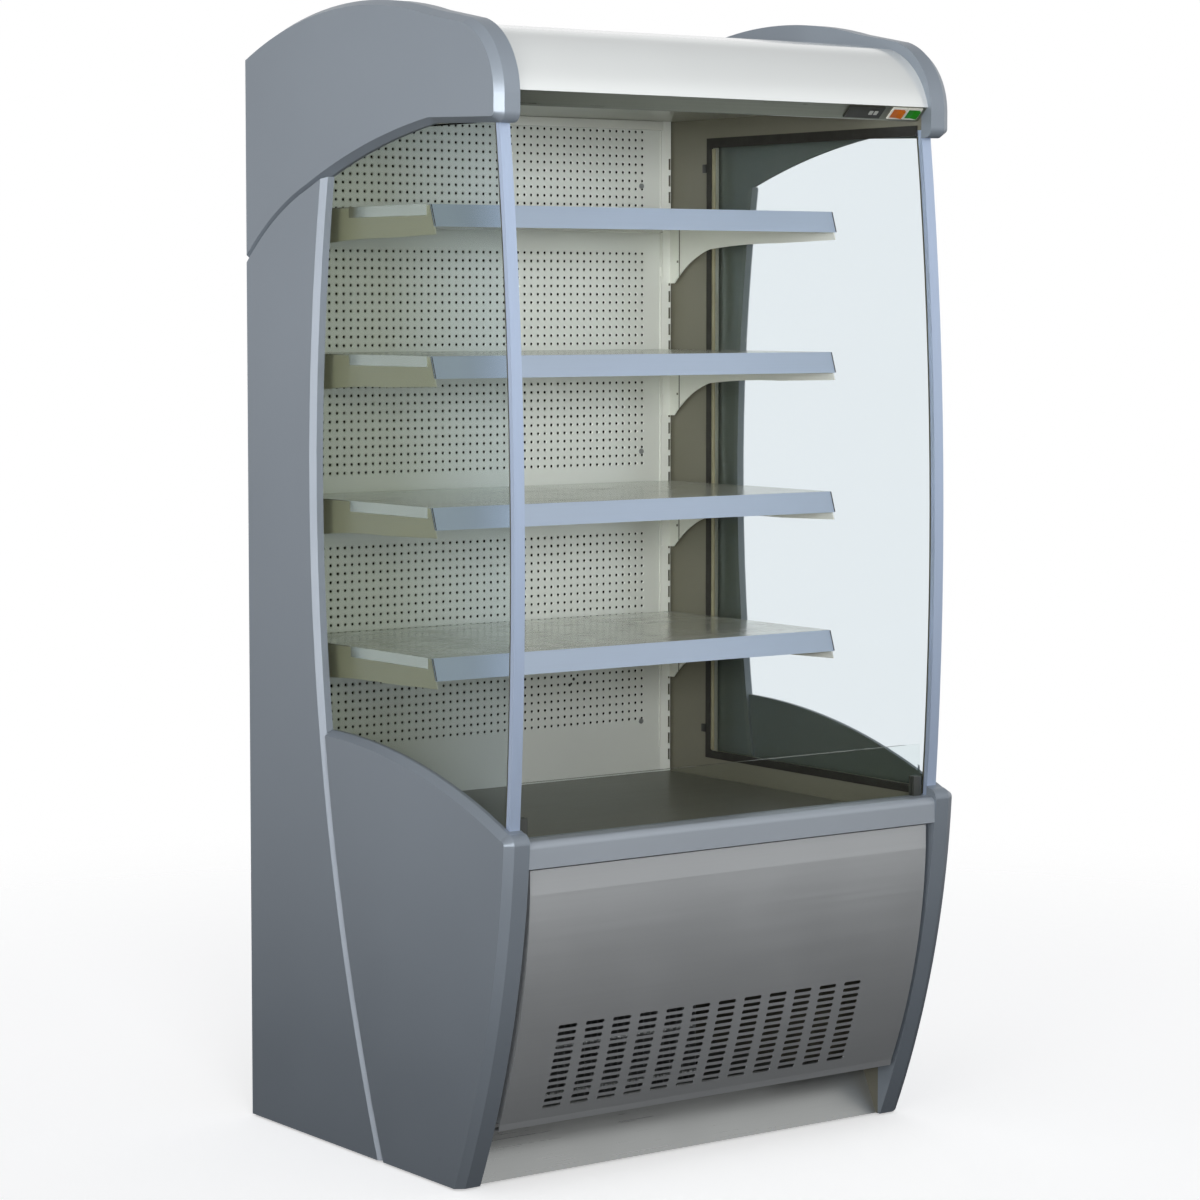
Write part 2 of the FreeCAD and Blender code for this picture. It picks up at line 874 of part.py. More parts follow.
def glass_gaskets():
    window_rear = rear - S.glass_rear
    x = (-liner_face, -inner + S.gasket_proud)
    lap = S.gasket_cover
    back = window_rear - lap + S.gasket_wide
    foot = S.glass_bottom + lap - S.gasket_foot_wide
    head = S.glass_top - lap + S.gasket_top_wide
    front_end = post_face(S.glass_top) + S.post_deep
    parts = [
        box("gasket_rear", x, (window_rear - lap, back), (foot, head)),
        box("gasket_head", x, (front_end, back), (head - S.gasket_top_wide, head)),
        box("gasket_foot", x, (front_end, back), (foot, foot + S.gasket_foot_wide)),
    ]
    keep_pair("glass_gaskets", fuse("gasket_left", parts))


# ---------------------------------------------------------------- body

def walls_and_roof():
    keep("rear_wall", box("rear_wall_block", (-inner, inner), (duct_back, rear), (tub_under, roof_top)))
    keep("roof_wall", box("roof_wall_block", (-inner, inner),
                          (front + S.nose_back + S.nose_flat, duct_back), (roof_under, roof_top)))
    honeycomb_rear = front + S.nose_back + S.nose_flat + S.honeycomb_deep
    panel = box("ceiling_sheet", (-inner, inner), (honeycomb_rear, panel_face),
                (ceiling, ceiling + S.tray_thick))
    hanger = box("ceiling_hanger", (-inner, inner), (honeycomb_rear, honeycomb_rear + S.tray_thick),
                 (ceiling, roof_under))
    keep("ceiling_panel", fuse("ceiling_bent", [panel, hanger]))


def canopy():
    path = [
        (front + S.canopy_rear_back, roof_top),
        (front + S.canopy_rear_back, top - S.canopy_rear_drop),
        Arc(front + S.canopy_mid_back, top - S.canopy_mid_drop),
        (front + S.canopy_brow_back, top - S.canopy_brow_drop),
        Arc(front + S.canopy_curl_back, top - S.canopy_curl_drop),
        (front + S.canopy_front_back, top - S.canopy_front_drop),
    ]
    keep("canopy_front", plate("canopy_sheet", "YZ", band(path, S.canopy_thick), (-inner, inner)))


NOSE_START = (front + S.canopy_front_back + S.canopy_thick + S.rim_gap, top - S.canopy_front_drop)
NOSE_END = (front + S.nose_back, top - S.nose_drop)
NOSE_RUN = flat(NOSE_END) - flat(NOSE_START)
NOSE_TURN = math.degrees(math.atan2(NOSE_RUN.y, NOSE_RUN.x))
NOSE_ALONG = V(0, NOSE_RUN.x, NOSE_RUN.y).normalize()
NOSE_IN = V(0, -NOSE_ALONG.z, NOSE_ALONG.y)


def on_nose(along, inward):
    """Y and Z of a point of the nose's slope, from how far along and how far under its face."""
    y = NOSE_START[0] + Size.of(along) * NOSE_ALONG.y + Size.of(inward) * NOSE_IN.y
    z = NOSE_START[1] + Size.of(along) * NOSE_ALONG.z + Size.of(inward) * NOSE_IN.z
    return y, z


def sloped_box(name, x, along, inward):
    """A box that lies on the slope of the nose."""
    solid = doc.addObject("Part::Box", name)
    solid.Placement = FreeCAD.Placement(V(0, 0, 0), FreeCAD.Rotation(V(1, 0, 0), NOSE_TURN))
    y, z = on_nose(along[0], inward[0])
    bind(solid, "Length", Size.of(x[1]) - x[0])
    bind(solid, "Width", Size.of(along[1]) - along[0])
    bind(solid, "Height", Size.of(inward[1]) - inward[0])
    bind(solid, "Placement.Base.x", x[0])
    bind(solid, "Placement.Base.y", y)
    bind(solid, "Placement.Base.z", z)
    return solid


def control_rows():
    """Low and high place along the slope of the control fittings."""
    return S.control_margin, S.control_margin + S.control_tall


def rocker_middle(number):
    """Middle of a rocker switch across the cabinet, counted from 0 at the left."""
    first = S.bezel_left + S.bezel_wide + S.rocker_pitch
    return first + S.rocker_pitch * number


def key_middle(number):
    return S.bezel_left + S.bezel_wide - S.key_from_end - S.key_pitch * number


def canopy_nose():
    path = [
        NOSE_START,
        NOSE_END,
        (NOSE_END[0] + S.nose_flat, NOSE_END[1]),
        (NOSE_END[0] + S.nose_flat, roof_under),
    ]
    bent = plate("nose_sheet", "YZ", band(path, S.tray_thick), (-inner, inner))
    low, high = control_rows()
    through = (-S.tray_thick, S.tray_thick * 2)
    inset = S.rocker_frame
    tools = [sloped_box("nose_display_hole",
                        (S.bezel_left + inset, S.bezel_left + S.bezel_wide - inset),
                        (low + inset, high - inset), through)]
    for number in range(2):
        middle = rocker_middle(number)
        reach = S.rocker_wide / 2 + S.rocker_gap
        tools.append(sloped_box(f"nose_rocker_hole{number}", (middle - reach, middle + reach),
                                (low + inset, high - inset), through))
    keep("canopy_nose", cut("nose_cut", bent, tools))


def control_bezels():
    low, high = control_rows()
    proud = (-S.bezel_proud, 0)
    inset = S.rocker_frame
    display = sloped_box("display_plate", (S.bezel_left, S.bezel_left + S.bezel_wide), (low, high), proud)
    holes = []
    centre = (low + high) / 2
    for number in range(2):
        reach = S.key_wide / 2 + S.key_gap
        rise = S.key_tall / 2 + S.key_gap
        holes.append(sloped_box(f"key_hole{number}", (key_middle(number) - reach, key_middle(number) + reach),
                                (centre - rise, centre + rise),
                                (-S.bezel_proud - S.control_through, S.control_through)))
    bezels = [cut("display_bezel", display, holes)]
    for number in range(2):
        middle = rocker_middle(number)
        reach = S.rocker_wide / 2 + S.rocker_gap
        outer = sloped_box(f"frame{number}", (middle - reach - inset, middle + reach + inset),
                           (low, high), proud)
        hole = sloped_box(f"frame_hole{number}", (middle - reach, middle + reach),
                          (low + inset, high - inset),
                          (-S.bezel_proud - S.control_through, S.control_through))
        bezels.append(cut(f"switch_frame{number}", outer, [hole]))
    keep("control_bezels", group("bezel_group", bezels))


def keys():
    low, high = control_rows()
    centre = (low + high) / 2
    for number, label in enumerate(("key_up", "key_down")):
        middle = key_middle(number)
        keep(label, sloped_box(label + "_cap", (middle - S.key_wide / 2, middle + S.key_wide / 2),
                               (centre - S.key_tall / 2, centre + S.key_tall / 2),
                               (-S.bezel_proud - S.control_through, -S.key_gap)))


def rockers():
    """Rocker caps, each drawn level about its pivot and then tilted to the side it is left at."""
    low, high = control_rows()
    centre = (low + high) / 2
    across = (high - low) / 2 - S.rocker_frame - S.rocker_gap
    reach = S.rocker_wide / 2
    for number, label in enumerate(("rocker_orange", "rocker_green")):
        path = [
            (-reach, -S.bezel_proud - S.rocker_rise),
            (0, -S.bezel_proud - S.rocker_dip),
            (reach, -S.bezel_proud - S.rocker_rise),
            (reach, S.rocker_skirt),
            Arc(0, S.rocker_deep - S.bezel_proud),
            (-reach, S.rocker_skirt),
        ]
        body = plate(label + "_cap", "XZ", path, (-across, across))
        turn = FreeCAD.Rotation(V(1, 0, 0), NOSE_TURN).multiply(
            FreeCAD.Rotation(V(0, 1, 0), S.rocker_tilt.value))
        body.Placement = FreeCAD.Placement(V(0, 0, 0), turn)
        y, z = on_nose(centre, 0)
        bind(body, "Placement.Base.x", rocker_middle(number))
        bind(body, "Placement.Base.y", y)
        bind(body, "Placement.Base.z", z)
        keep(label, body)


def air_honeycomb():
    y0 = front + S.nose_back + S.nose_flat
    z = (ceiling - S.honeycomb_thick, ceiling + S.tray_thick)
    y = (y0, y0 + S.honeycomb_deep)
    body = plate("honeycomb_block", "XY", rectangle((-inner, inner), y), z)
    rows = int(S.honeycomb_deep.value // S.honeycomb_pitch.value)
    gap = (S.honeycomb_deep - S.honeycomb_pitch * (rows - 1)) / 2
    first_x = -S.honeycomb_pitch * (S.honeycomb_cells - 1) / 2
    cells = []
    for row in range(rows):
        middle = y0 + gap + S.honeycomb_pitch * row
        reach = S.honeycomb_cell / 2
        cells.append(rectangle((first_x - reach, first_x + reach), (middle - reach, middle + reach)))
    cut_cells = pocket(body, "honeycomb_cells", "XY", cells, z[0])
    pattern(body, "honeycomb_row", cut_cells, "X", S.honeycomb_cells, S.honeycomb_pitch)
    keep("air_honeycomb", body)


def ceiling_lamp():
    y = front + S.lamp_back
    z = ceiling - S.lamp_radius - S.lamp_gap
    reach = S.lamp_length / 2
    tube = rod("lamp_tube", "X", S.lamp_radius, (y, z), (-reach, reach))
    parts = [tube]
    ends = {"left": (-reach - S.lamp_holder, -reach), "right": (reach, reach + S.lamp_holder)}
    for name, (low, high) in ends.items():
        parts.append(box("lamp_holder_" + name, (low, high), (y - S.lamp_radius, y + S.lamp_radius),
                         (z - S.lamp_radius, ceiling)))
    keep("ceiling_lamp", fuse("lamp_unit", parts))


# ---------------------------------------------------------------- inside

def screw_heights():
    """Heights of the back panel's screws."""
    upper = [shelf_top(number) + S.screw_lift for number in (int(S.shelf_count.value), 2)]
    return upper + [deck + S.low_screw_lift]


def upright_edge():
    return inner - S.upright_gap - S.upright_wide


def back_panel():
    edge = upright_edge()
    body = plate("panel_sheet", "XZ", rectangle((-edge, edge), (deck, ceiling)),
                 (panel_face, panel_face + S.panel_thick))
    holes = []
    for side in (-1, 1):
        for z in screw_heights():
            size = S.screw_shank + S.screw_play
            holes.append(slot_path(S.screw_x * side, z, size * 2 + S.screw_slot, size * 2))
    pocket(body, "panel_holes", "XZ", holes, panel_face)
    keep("back_panel", body)


def panel_screws():
    screws = []
    for side in (-1, 1):
        for number, z in enumerate(screw_heights()):
            name = f"screw_{'left' if side < 0 else 'right'}{number}"
            spot = (S.screw_x * side, z)
            head = rod(name + "_head", "Y", S.screw_head, spot, (panel_face - S.screw_head_thick, panel_face))
            shank = rod(name + "_shank", "Y", S.screw_shank, spot, (panel_face, panel_face + S.screw_long))
            screws.append(fuse(name, [head, shank]))
    keep("panel_screws", group("screw_group", screws))


def shelf_uprights():
    edge = upright_edge()
    z = (deck, ceiling)
    x = (edge, edge + S.upright_wide)
    body = plate("upright_face", "XZ", rectangle(x, z), (panel_face, panel_face + S.upright_web))
    slot_x = inner - S.hook_x
    first = shelf_top(1) - S.hook_seat + S.slot_tall / 2 - S.slot_pitch * S.slots_below
    cut_slot = pocket(body, "upright_slot", "XZ",
                      [rectangle((slot_x - S.slot_wide / 2, slot_x + S.slot_wide / 2),
                                 (first - S.slot_tall / 2, first + S.slot_tall / 2))], panel_face)
    pattern(body, "upright_slots", cut_slot, "Z", S.slot_count, S.slot_pitch)
    webs = []
    for number, start in enumerate((edge, slot_x - S.slot_wide / 2 - S.upright_lip - S.upright_web)):
        webs.append(box(f"upright_web{number}", (start, start + S.upright_web),
                        (panel_face, duct_back), z))
    keep_pair("shelf_uprights", fuse("upright_right", [body] + webs))


def bracket_pair(number):
    """Both brackets of a shelf, each with a hooked side plate and a rear flange."""
    level = shelf_top(number)
    name = f"bracket{number}"
    plate_x = inner - S.hook_x
    x = (plate_x - S.bracket_thick / 2, plate_x + S.bracket_thick / 2)
    back = panel_face - S.bracket_gap
    under = level - S.shelf_sheet - S.bracket_gap
    path = [
        (back, level - S.bracket_drop),
        (back, under),
        (front + S.shelf_front + S.rail_thick + S.bracket_nose_gap, under),
        (front + S.bracket_tip_back + S.bracket_slope, level - S.bracket_tip_drop),
        (front + S.bracket_arm_back, level - S.bracket_arm_drop),
        Arc(front + S.bracket_waist_back, level - S.bracket_waist_drop),
        (front + S.bracket_knee_back, level - S.bracket_knee_drop),
        Arc(front + S.bracket_arc_back, level - S.bracket_arc_drop),
        (back - S.bracket_heel, level - S.bracket_drop),
    ]
    side = plate(name + "_plate", "YZ", path, x)
    flange = box(name + "_flange", (x[1] - S.bracket_flange, x[1]),
                 (back - S.bracket_thick, back), (level - S.bracket_drop, under))
    parts = [side, flange]
    for hook in range(2):
        seat = level - S.hook_seat + S.hook_clear - S.slot_pitch * S.bracket_hooks_apart * hook
        behind = panel_face + S.upright_web + S.hook_clear
        parts.append(box(f"{name}_neck{hook}", x, (back, behind + S.hook_thick), (seat, seat + S.hook_neck)))
        parts.append(box(f"{name}_nose{hook}", x, (behind, behind + S.hook_thick),
                         (seat - S.hook_nose, seat + S.hook_neck)))
    keep_pair(f"shelf_brackets_{number}", fuse(name + "_right", parts))


def shelf_tray(number):
    level = shelf_top(number)
    name = f"tray{number}"
    reach = inner - S.shelf_end_gap
    sheet_thick = S.shelf_sheet
    y = (front + S.shelf_front + S.rail_thick, panel_face - S.shelf_rear_gap)
    parts = [box(name + "_top", (-reach, reach), y, (level - sheet_thick, level))]
    flange_z = (level - S.shelf_side_flange, level)
    side_y = (y[0] + S.shelf_flange_start, front + S.shelf_flange_back)
    parts.append(box(name + "_end_left", (-reach, -reach + sheet_thick), side_y, flange_z))
    parts.append(box(name + "_end_right", (reach - sheet_thick, reach), side_y, flange_z))
    inside = inner - S.hook_x - S.bracket_thick / 2 - S.bracket_gap
    edge_z = (level - S.shelf_edge_flange, level)
    parts.append(box(name + "_edge", (-inside, inside), (y[0], y[0] + sheet_thick), edge_z))
    rear_reach = inside - S.bracket_flange
    parts.append(box(name + "_rear", (-rear_reach, rear_reach), (y[1] - sheet_thick, y[1]), edge_z))
    keep(f"shelf_tray_{number}", fuse(name + "_bent", parts))


def price_rail(number):
    level = shelf_top(number)
    reach = inner - S.shelf_end_gap
    edge = front + S.shelf_front
    foot = (edge - S.rail_lean, level - S.rail_drop)
    path = [(edge, level), foot, (foot[0] + S.rail_thick, foot[1]), (edge + S.rail_thick, level)]
    keep(f"price_rail_{number}", plate(f"rail{number}_strip", "YZ", path, (-reach, reach)))


def deck_tray():
    x = inner - S.tray_play
    y = (front + S.deck_front, panel_face - S.tray_play)
    z = (deck - S.tray_thick, deck)
    top_sheet = box("deck_sheet", (-x, x), y, z)
    ring_x = inner - S.tub_wall - S.tray_play
    ring_z = (deck - S.tray_flange, deck)
    ring = box("deck_ring", (-ring_x, ring_x), y, ring_z)
    thick = S.tray_thick
    hollow = box("deck_hollow", (-ring_x + thick, ring_x - thick), (y[0] + thick, y[1] - thick),
                 (deck - S.tray_flange - 1, deck - thick))
    keep("deck_tray", fuse("deck_bent", [top_sheet, cut("deck_skirt", ring, [hollow])]))


def return_grille():
    x = inner - S.tray_play
    y0 = rail_rear + S.tray_play
    y = (y0, y0 + S.grille_deep)
    body = plate("grille_sheet", "XY", rectangle((-x, x), y), (deck - S.tray_thick, deck))
    first_x = -S.grille_pitch * (S.grille_slots - 1) / 2
    slots = []
    rows = int(S.grille_slot_rows.value)
    for row in range(rows):
        middle = (y[0] + y[1]) / 2 + S.grille_row_pitch * (row - (rows - 1) / 2)
        slots.append(slot_path(first_x, middle, S.grille_slot_long, S.grille_slot_wide))
    cut_slots = pocket(body, "grille_slots", "XY", slots, deck)
    pattern(body, "grille_rows", cut_slots, "X", S.grille_slots, S.grille_pitch)
    keep("return_grille", body)


def front_rail():
    y0 = front + S.rail_setback
    z0 = deck - S.rail_foot
    z1 = deck + S.rail_top
    bend = S.rail_round * (1 - math.sqrt(0.5))
    path = [
        (rail_rear, z0),
        (rail_rear, z1),
        (y0 + S.rail_round, z1),
        Arc(y0 + bend, z1 - bend),
        (y0, z1 - S.rail_round),
        (y0, z0),
    ]
    keep("front_rail", plate("front_rail_bar", "YZ", path, (-inner, inner)))


def riser():
    x = inner - S.shelf_end_gap
    y = (front + S.riser_inset, front + S.riser_inset + S.riser_thick)
    z0 = deck + S.rail_top
    keep("riser_glass", box("riser_pane", (-x, x), y, (z0, z0 + S.riser_tall)))
    lap = S.clamp_lap
    clamp = box("clamp_block", (x - S.clamp_wide, x), (y[0] - lap, y[1] + lap), (z0, z0 + S.clamp_tall))
    slot = box("clamp_slot", (x - S.clamp_wide - 1, x + 1), y, (z0 - 1, z0 + S.clamp_tall + 1))
    keep_pair("riser_clamps", cut("clamp_right", clamp, [slot]))


# ---------------------------------------------------------------- base

def service_curve():
    """Outer face of the service panel, from its top edge down."""
    return [
        (front + S.service_top_back, S.service_top),
        (front + S.service_top_back, S.service_bend),
        Arc(front + S.service_mid_back, S.service_mid_height),
        (front + S.service_foot_back, S.service_foot),
    ]


def service_panel():
    curve = service_curve()
    reach = S.service_wide / 2
    foot = (curve[3][0] + S.service_lip_lean, S.service_foot - S.service_lip)
    sheet_path = [(curve[0][0] + S.service_flange, S.service_top)] + curve
    sheet_path += [foot, (foot[0] + S.service_flange, foot[1])]
    body = plate("service_sheet", "YZ", band(sheet_path, S.service_thick), (-reach, reach))
    slits = []
    for row in range(int(S.slit_rows.value)):
        height = S.slit_first_height + S.slit_pitch * row
        slits.append(slot_path(S.slit_first_x, height, S.slit_long, S.slit_wide))
    cut_slits = pocket(body, "service_slits", "XZ", slits, front + S.service_foot_back)
    pattern(body, "service_columns", cut_slits, "X", S.slit_columns, S.slit_column_pitch)
    end = plate("service_end", "YZ", band(curve, S.service_flange), (reach - S.service_thick, reach))
    hole = rod("service_pin_hole", "X", S.pin_radius + S.pin_play,
               (front + S.pin_back, S.pin_height), (reach - S.pin_seat - 1, reach + 1))
    right = cut("service_end_right", end, [hole])
    left = mirror("service_end_left", right)
    keep("service_panel", fuse("service_bent", [body, right, left]))


def panel_pins():
    reach = S.service_wide / 2
    keep_pair("panel_pins", rod("pin_right", "X", S.pin_radius, (front + S.pin_back, S.pin_height),
                                (reach - S.pin_seat, inner)))


def kickplate():
    path = [
        (front + S.kick_top_back + S.kick_flange, S.kick_top),
        (front + S.kick_top_back, S.kick_top),
        (front + S.kick_foot_back, floor),
        (front + S.kick_foot_back + S.kick_flange, floor),
    ]
    keep("kickplate", plate("kick_sheet", "YZ", band(path, S.service_thick), (-inner, inner)))


def base_tub():
    y = (rail_rear, duct_back)
    outer = box("tub_block", (-inner, inner), y, (tub_under, tub_rim))
    x = inner - S.tub_wall
    hollow = box("tub_hollow", (-x, x), (y[0] + S.tub_wall, duct_back + 1),
                 (tub_under + S.tub_wall, tub_rim + 1))
    keep("base_tub", cut("tub_open", outer, [hollow]))


def chassis():
    y = (front + S.chassis_front, rear - S.grille_recess - S.chassis_sheet)
    low = S.chassis_height - S.chassis_flange
    outer = box("chassis_block", (-inner, inner), y, (low, S.chassis_height))
    thick = S.chassis_sheet
    hollow = box("chassis_hollow", (-inner + thick, inner - thick), (y[0] + thick, y[1] - thick),
                 (low - 1, S.chassis_height - thick))
    keep("chassis", cut("chassis_pan", outer, [hollow]))
    feet = []
    for side in (-1, 1):
        for place, foot_y in (("front", y[0] + S.foot_inset), ("rear", y[1] - S.foot_inset)):
            name = f"foot_{'left' if side < 0 else 'right'}_{place}"
            spot = ((inner - S.foot_inset) * side, foot_y)
            disc = rod(name + "_disc", "Z", S.foot_radius, spot, (0, S.foot_thick))
            stem = rod(name + "_stem", "Z", S.foot_stem, spot, (S.foot_thick, S.chassis_height - thick))
            feet.append(fuse(name, [disc, stem]))
    keep("levelling_feet", group("feet_group", feet))


def compressor():
    x = S.compressor_x
    y = S.compressor_y
    z0 = S.chassis_height
    z1 = z0 + S.compressor_tall
    radius = S.compressor_radius
    pot = rod("compressor_pot", "Z", radius, (x, y), (z0, z1))
    seam = rod("compressor_seam", "Z", radius + S.seam_proud, (x, y),
               (z1 - S.seam_low, z1 - S.seam_high))
    dome = doc.addObject("Part::Ellipsoid", "compressor_dome")
    bind(dome, "Radius1", S.compressor_dome)
    bind(dome, "Radius2", radius)
    bind(dome, "Radius3", radius)
    dome.Angle1 = 0
    for axis, place in zip("xyz", (x, y, z1)):
        bind(dome, "Placement.Base." + axis, place)
    reach = radius + S.base_proud
    deep = reach * S.base_narrow
    base = box("compressor_base", (x - reach, x + reach), (y - deep, y + deep), (z0, z0 + S.base_thick))
    low = z0 + S.terminal_low
    terminal = box("compressor_terminal", (x - S.terminal_wide / 2, x + S.terminal_wide / 2),
                   (y - radius - S.terminal_proud, y - radius + S.terminal_root), (low, low + S.terminal_tall))
    keep("compressor", fuse("compressor_unit", [pot, seam, dome, base, terminal]))


def finned_coil(label, x, y, z):
    """A heat exchanger: end plates, fins, and tubes that run through them all."""
    name = label + "_coil"
    parts = []
    count = int((x[1].value - x[0].value) // S.fin_pitch.value) + 1
    spare = (x[1] - x[0] - S.fin_thick - S.fin_pitch * (count - 1)) / 2
    for number in range(count):
        start = x[0] + spare + S.fin_pitch * number
        parts.append(box(f"{name}_fin{number}", (start, start + S.fin_thick), y, z))
    rows = int(S.tube_rows.value)
    levels = int((z[1].value - z[0].value) // S.tube_pitch.value)
    for row in range(rows):
        for level in range(levels):
            spot = (y[0] + (y[1] - y[0]) * (2 * row + 1) / (2 * rows),
                    z[0] + (z[1] - z[0]) * (2 * level + 1) / (2 * levels))
            parts.append(rod(f"{name}_tube{row}_{level}", "X", S.tube_radius, spot, (x[0], x[1])))
    keep(label, fuse(name, parts))


def fan(label, x, z, y, radius, hub):
    """Fan wheel on a shaft along Y; y is its low and high place."""
    bore = rod(label + "_bore", "Y", S.shaft_radius + S.shaft_play, (x, z),
               (y[0] + S.bore_cap, y[1] + 1))
    parts = [rod(label + "_hub", "Y", hub, (x, z), y)]
    blades = int(S.blade_count.value)
    for number in range(blades):
        blade = doc.addObject("Part::Box", f"{label}_blade{number}")
        bind(blade, "Length", radius - hub + S.blade_root)
        bind(blade, "Width", S.blade_thick)
        bind(blade, "Height", radius * S.blade_share)
        spin = 360.0 * number / blades
        turn = FreeCAD.Rotation(V(0, 1, 0), spin).multiply(FreeCAD.Rotation(V(1, 0, 0), S.blade_tilt.value))
        out = FreeCAD.Rotation(V(0, 1, 0), spin).multVec(V(1, 0, 0))
        drop = turn.multVec(V(0, 0, 1))
        blade.Placement = FreeCAD.Placement(V(0, 0, 0), turn)
        start = hub - S.blade_root
        lower = radius * S.blade_share / 2
        bind(blade, "Placement.Base.x", x + start * out.x - lower * drop.x)
        bind(blade, "Placement.Base.y", (y[0] + y[1]) / 2 - lower * drop.y)
        bind(blade, "Placement.Base.z", z + start * out.z - lower * drop.z)
        parts.append(blade)
    keep(label, cut(label + "_wheel", fuse(label + "_solid", parts), [bore]))


def fan_plate(label, x, z, y, spot, ring, motor):
    """A plate with a round opening, and the motor that three arms carry behind it."""
    name = label + "_part"
    motor_radius, motor_y, shaft_end = motor
    sheet_box = box(name + "_sheet", x, y, z)
    opening = rod(name + "_opening", "Y", ring, spot, (y[0] - 1, y[1] + 1))
    parts = [cut(name + "_open", sheet_box, [opening])]
    parts.append(rod(name + "_motor", "Y", motor_radius, spot, motor_y))
    parts.append(rod(name + "_shaft", "Y", S.shaft_radius, spot, (shaft_end, motor_y[0] + 1)))
    arm_y = (motor_y[0], motor_y[0] + S.arm_thick)
    half_arm = S.arm_wide / 2
    reach = ring + S.arm_wide
    for side in (-1, 1):
        start = spot[0] + (motor_radius - S.arm_root) * side
        end = spot[0] + reach * side
        low, high = (start, end) if side > 0 else (end, start)
        parts.append(box(f"{name}_arm{side + 1}", (low, high), arm_y, (spot[1] - half_arm, spot[1] + half_arm)))
        tip = (end - S.arm_thick, end) if side > 0 else (end, end + S.arm_thick)
        parts.append(box(f"{name}_stay{side + 1}", tip, (y[0], arm_y[1]),
                         (spot[1] - half_arm, spot[1] + half_arm)))
    keep(label, fuse(name, parts))


def cooling_unit():
    left = S.condenser_left
    right = left + S.condenser_wide
    y0 = front + S.condenser_back
    y1 = y0 + S.condenser_deep
    z0 = S.chassis_height
    z1 = z0 + S.condenser_tall
    finned_coil("condenser", (left, right), (y0, y1), (z0, z1))
    spot = ((left + right) / 2, (z0 + z1) / 2)
    plate_y = (y1, y1 + S.shroud_sheet)
    fan_y = (plate_y[1] + S.motor_gap, plate_y[1] + S.motor_gap + S.shroud_deep)
    motor_start = fan_y[1] + S.motor_gap
    fan_plate("fan_shroud", (left, right), (z0, z1), plate_y, spot, S.fan_radius + S.fan_ring_gap,
              (S.motor_radius, (motor_start, motor_start + S.motor_long), fan_y[0] + S.shaft_start))
    fan("condenser_fan", spot[0], spot[1], fan_y, S.fan_radius, S.fan_hub)


def evaporator():
    reach = S.evaporator_wide / 2
    z0 = tub_under + S.tub_wall
    z1 = z0 + S.evaporator_tall
    y1 = rear - S.evaporator_back
    finned_coil("evaporator", (-reach, reach), (y1 - S.evaporator_deep, y1), (z0, z1))
    x = inner - S.tub_wall
    spot = (Size.of(0), (z0 + z1) / 2)
    plate_y = (front + S.fan_plate_back, front + S.fan_plate_back + S.shroud_sheet)
    fan_y = (plate_y[1] + S.motor_gap, plate_y[1] + S.motor_gap + S.fan_deep)
    motor_start = fan_y[1] + S.motor_gap
    fan_plate("fan_plate", (-x, x), (z0, z1), plate_y, spot, S.small_fan_radius - S.shaft_radius,
              (S.small_motor_radius, (motor_start, motor_start + S.small_motor_long), fan_y[0] + S.shaft_start))
    fan("evaporator_fan", spot[0], spot[1], fan_y, S.small_fan_radius - S.fan_ring_gap, S.small_fan_hub)


def rear_grille():
    face = rear - S.grille_recess
    z = (S.chassis_height - S.chassis_flange, tub_under)
    body = plate("rear_grille_sheet", "XZ", rectangle((-inner, inner), z), (face, face + S.tray_thick))
    pitch = S.louvre_long + S.louvre_gap
    first_x = -pitch * (S.louvre_columns - 1) / 2
    louvres = []
    for row in range(int(S.louvre_rows.value)):
        height = z[0] + S.louvre_lift + S.louvre_wide * 2 * row
        louvres.append(slot_path(first_x, height, S.louvre_long, S.louvre_wide))
    cut_louvres = pocket(body, "rear_louvres", "XZ", louvres, face)
    pattern(body, "rear_louvre_columns", cut_louvres, "X", S.louvre_columns, pitch)
    hole = rod("gland_hole", "Y", S.gland_radius, (S.gland_x, S.gland_height), (face - 5, face + 5))
    keep("rear_grille", cut("rear_grille_cut", body, [hole]))
    spot = (S.gland_x, S.gland_height)
    y1 = rear - S.gland_back
    y0 = y1 - S.gland_long
    sleeve = rod("gland_sleeve", "Y", S.gland_radius, spot, (y0, y1))
    nut = rod("gland_nut", "Y", S.gland_nut, spot, (face + S.tray_thick, y1))
    bore = rod("gland_bore", "Y", S.gland_bore, spot, (y0 - 1, y1 + 1))
    keep("cable_gland", cut("gland_body", fuse("gland_solid", [sleeve, nut]), [bore]))


# ---------------------------------------------------------------- assembly

def build():
    hood_blank = hood_sides()
    side_columns(hood_blank)
    column_trims(hood_blank)
    lower_sides()
    side_walls()
    glazing()
    glass_gaskets()
    walls_and_roof()
    canopy()
    canopy_nose()
    control_bezels()
    keys()
    rockers()
    air_honeycomb()
    ceiling_lamp()
    back_panel()
    panel_screws()
    shelf_uprights()
    for number in range(1, int(S.shelf_count.value) + 1):
        bracket_pair(number)
        shelf_tray(number)
        price_rail(number)
    deck_tray()
    return_grille()
    front_rail()
    riser()
    service_panel()
    panel_pins()
    kickplate()
    base_tub()
    chassis()
    compressor()
    cooling_unit()
    evaporator()
    rear_grille()


def check():
    """Stop if an object failed or a sub-part has no sound shape."""
    for thing in doc.Objects:
        if "Invalid" in thing.State or "Error" in thing.State:
            raise RuntimeError(f"{thing.Label} failed: {thing.State}")
    for part in SUBPARTS:
        if part.Shape.isNull() or not part.Shape.isValid():
            raise RuntimeError(f"{part.Label} has no sound shape")


def write():
    os.makedirs("parts", exist_ok=True)
    for part in SUBPARTS:
        part.Shape.exportStep(f"parts/{part.Label}.step")


build()
doc.recompute()
check()
write()
print(len(SUBPARTS), "sub-parts written")
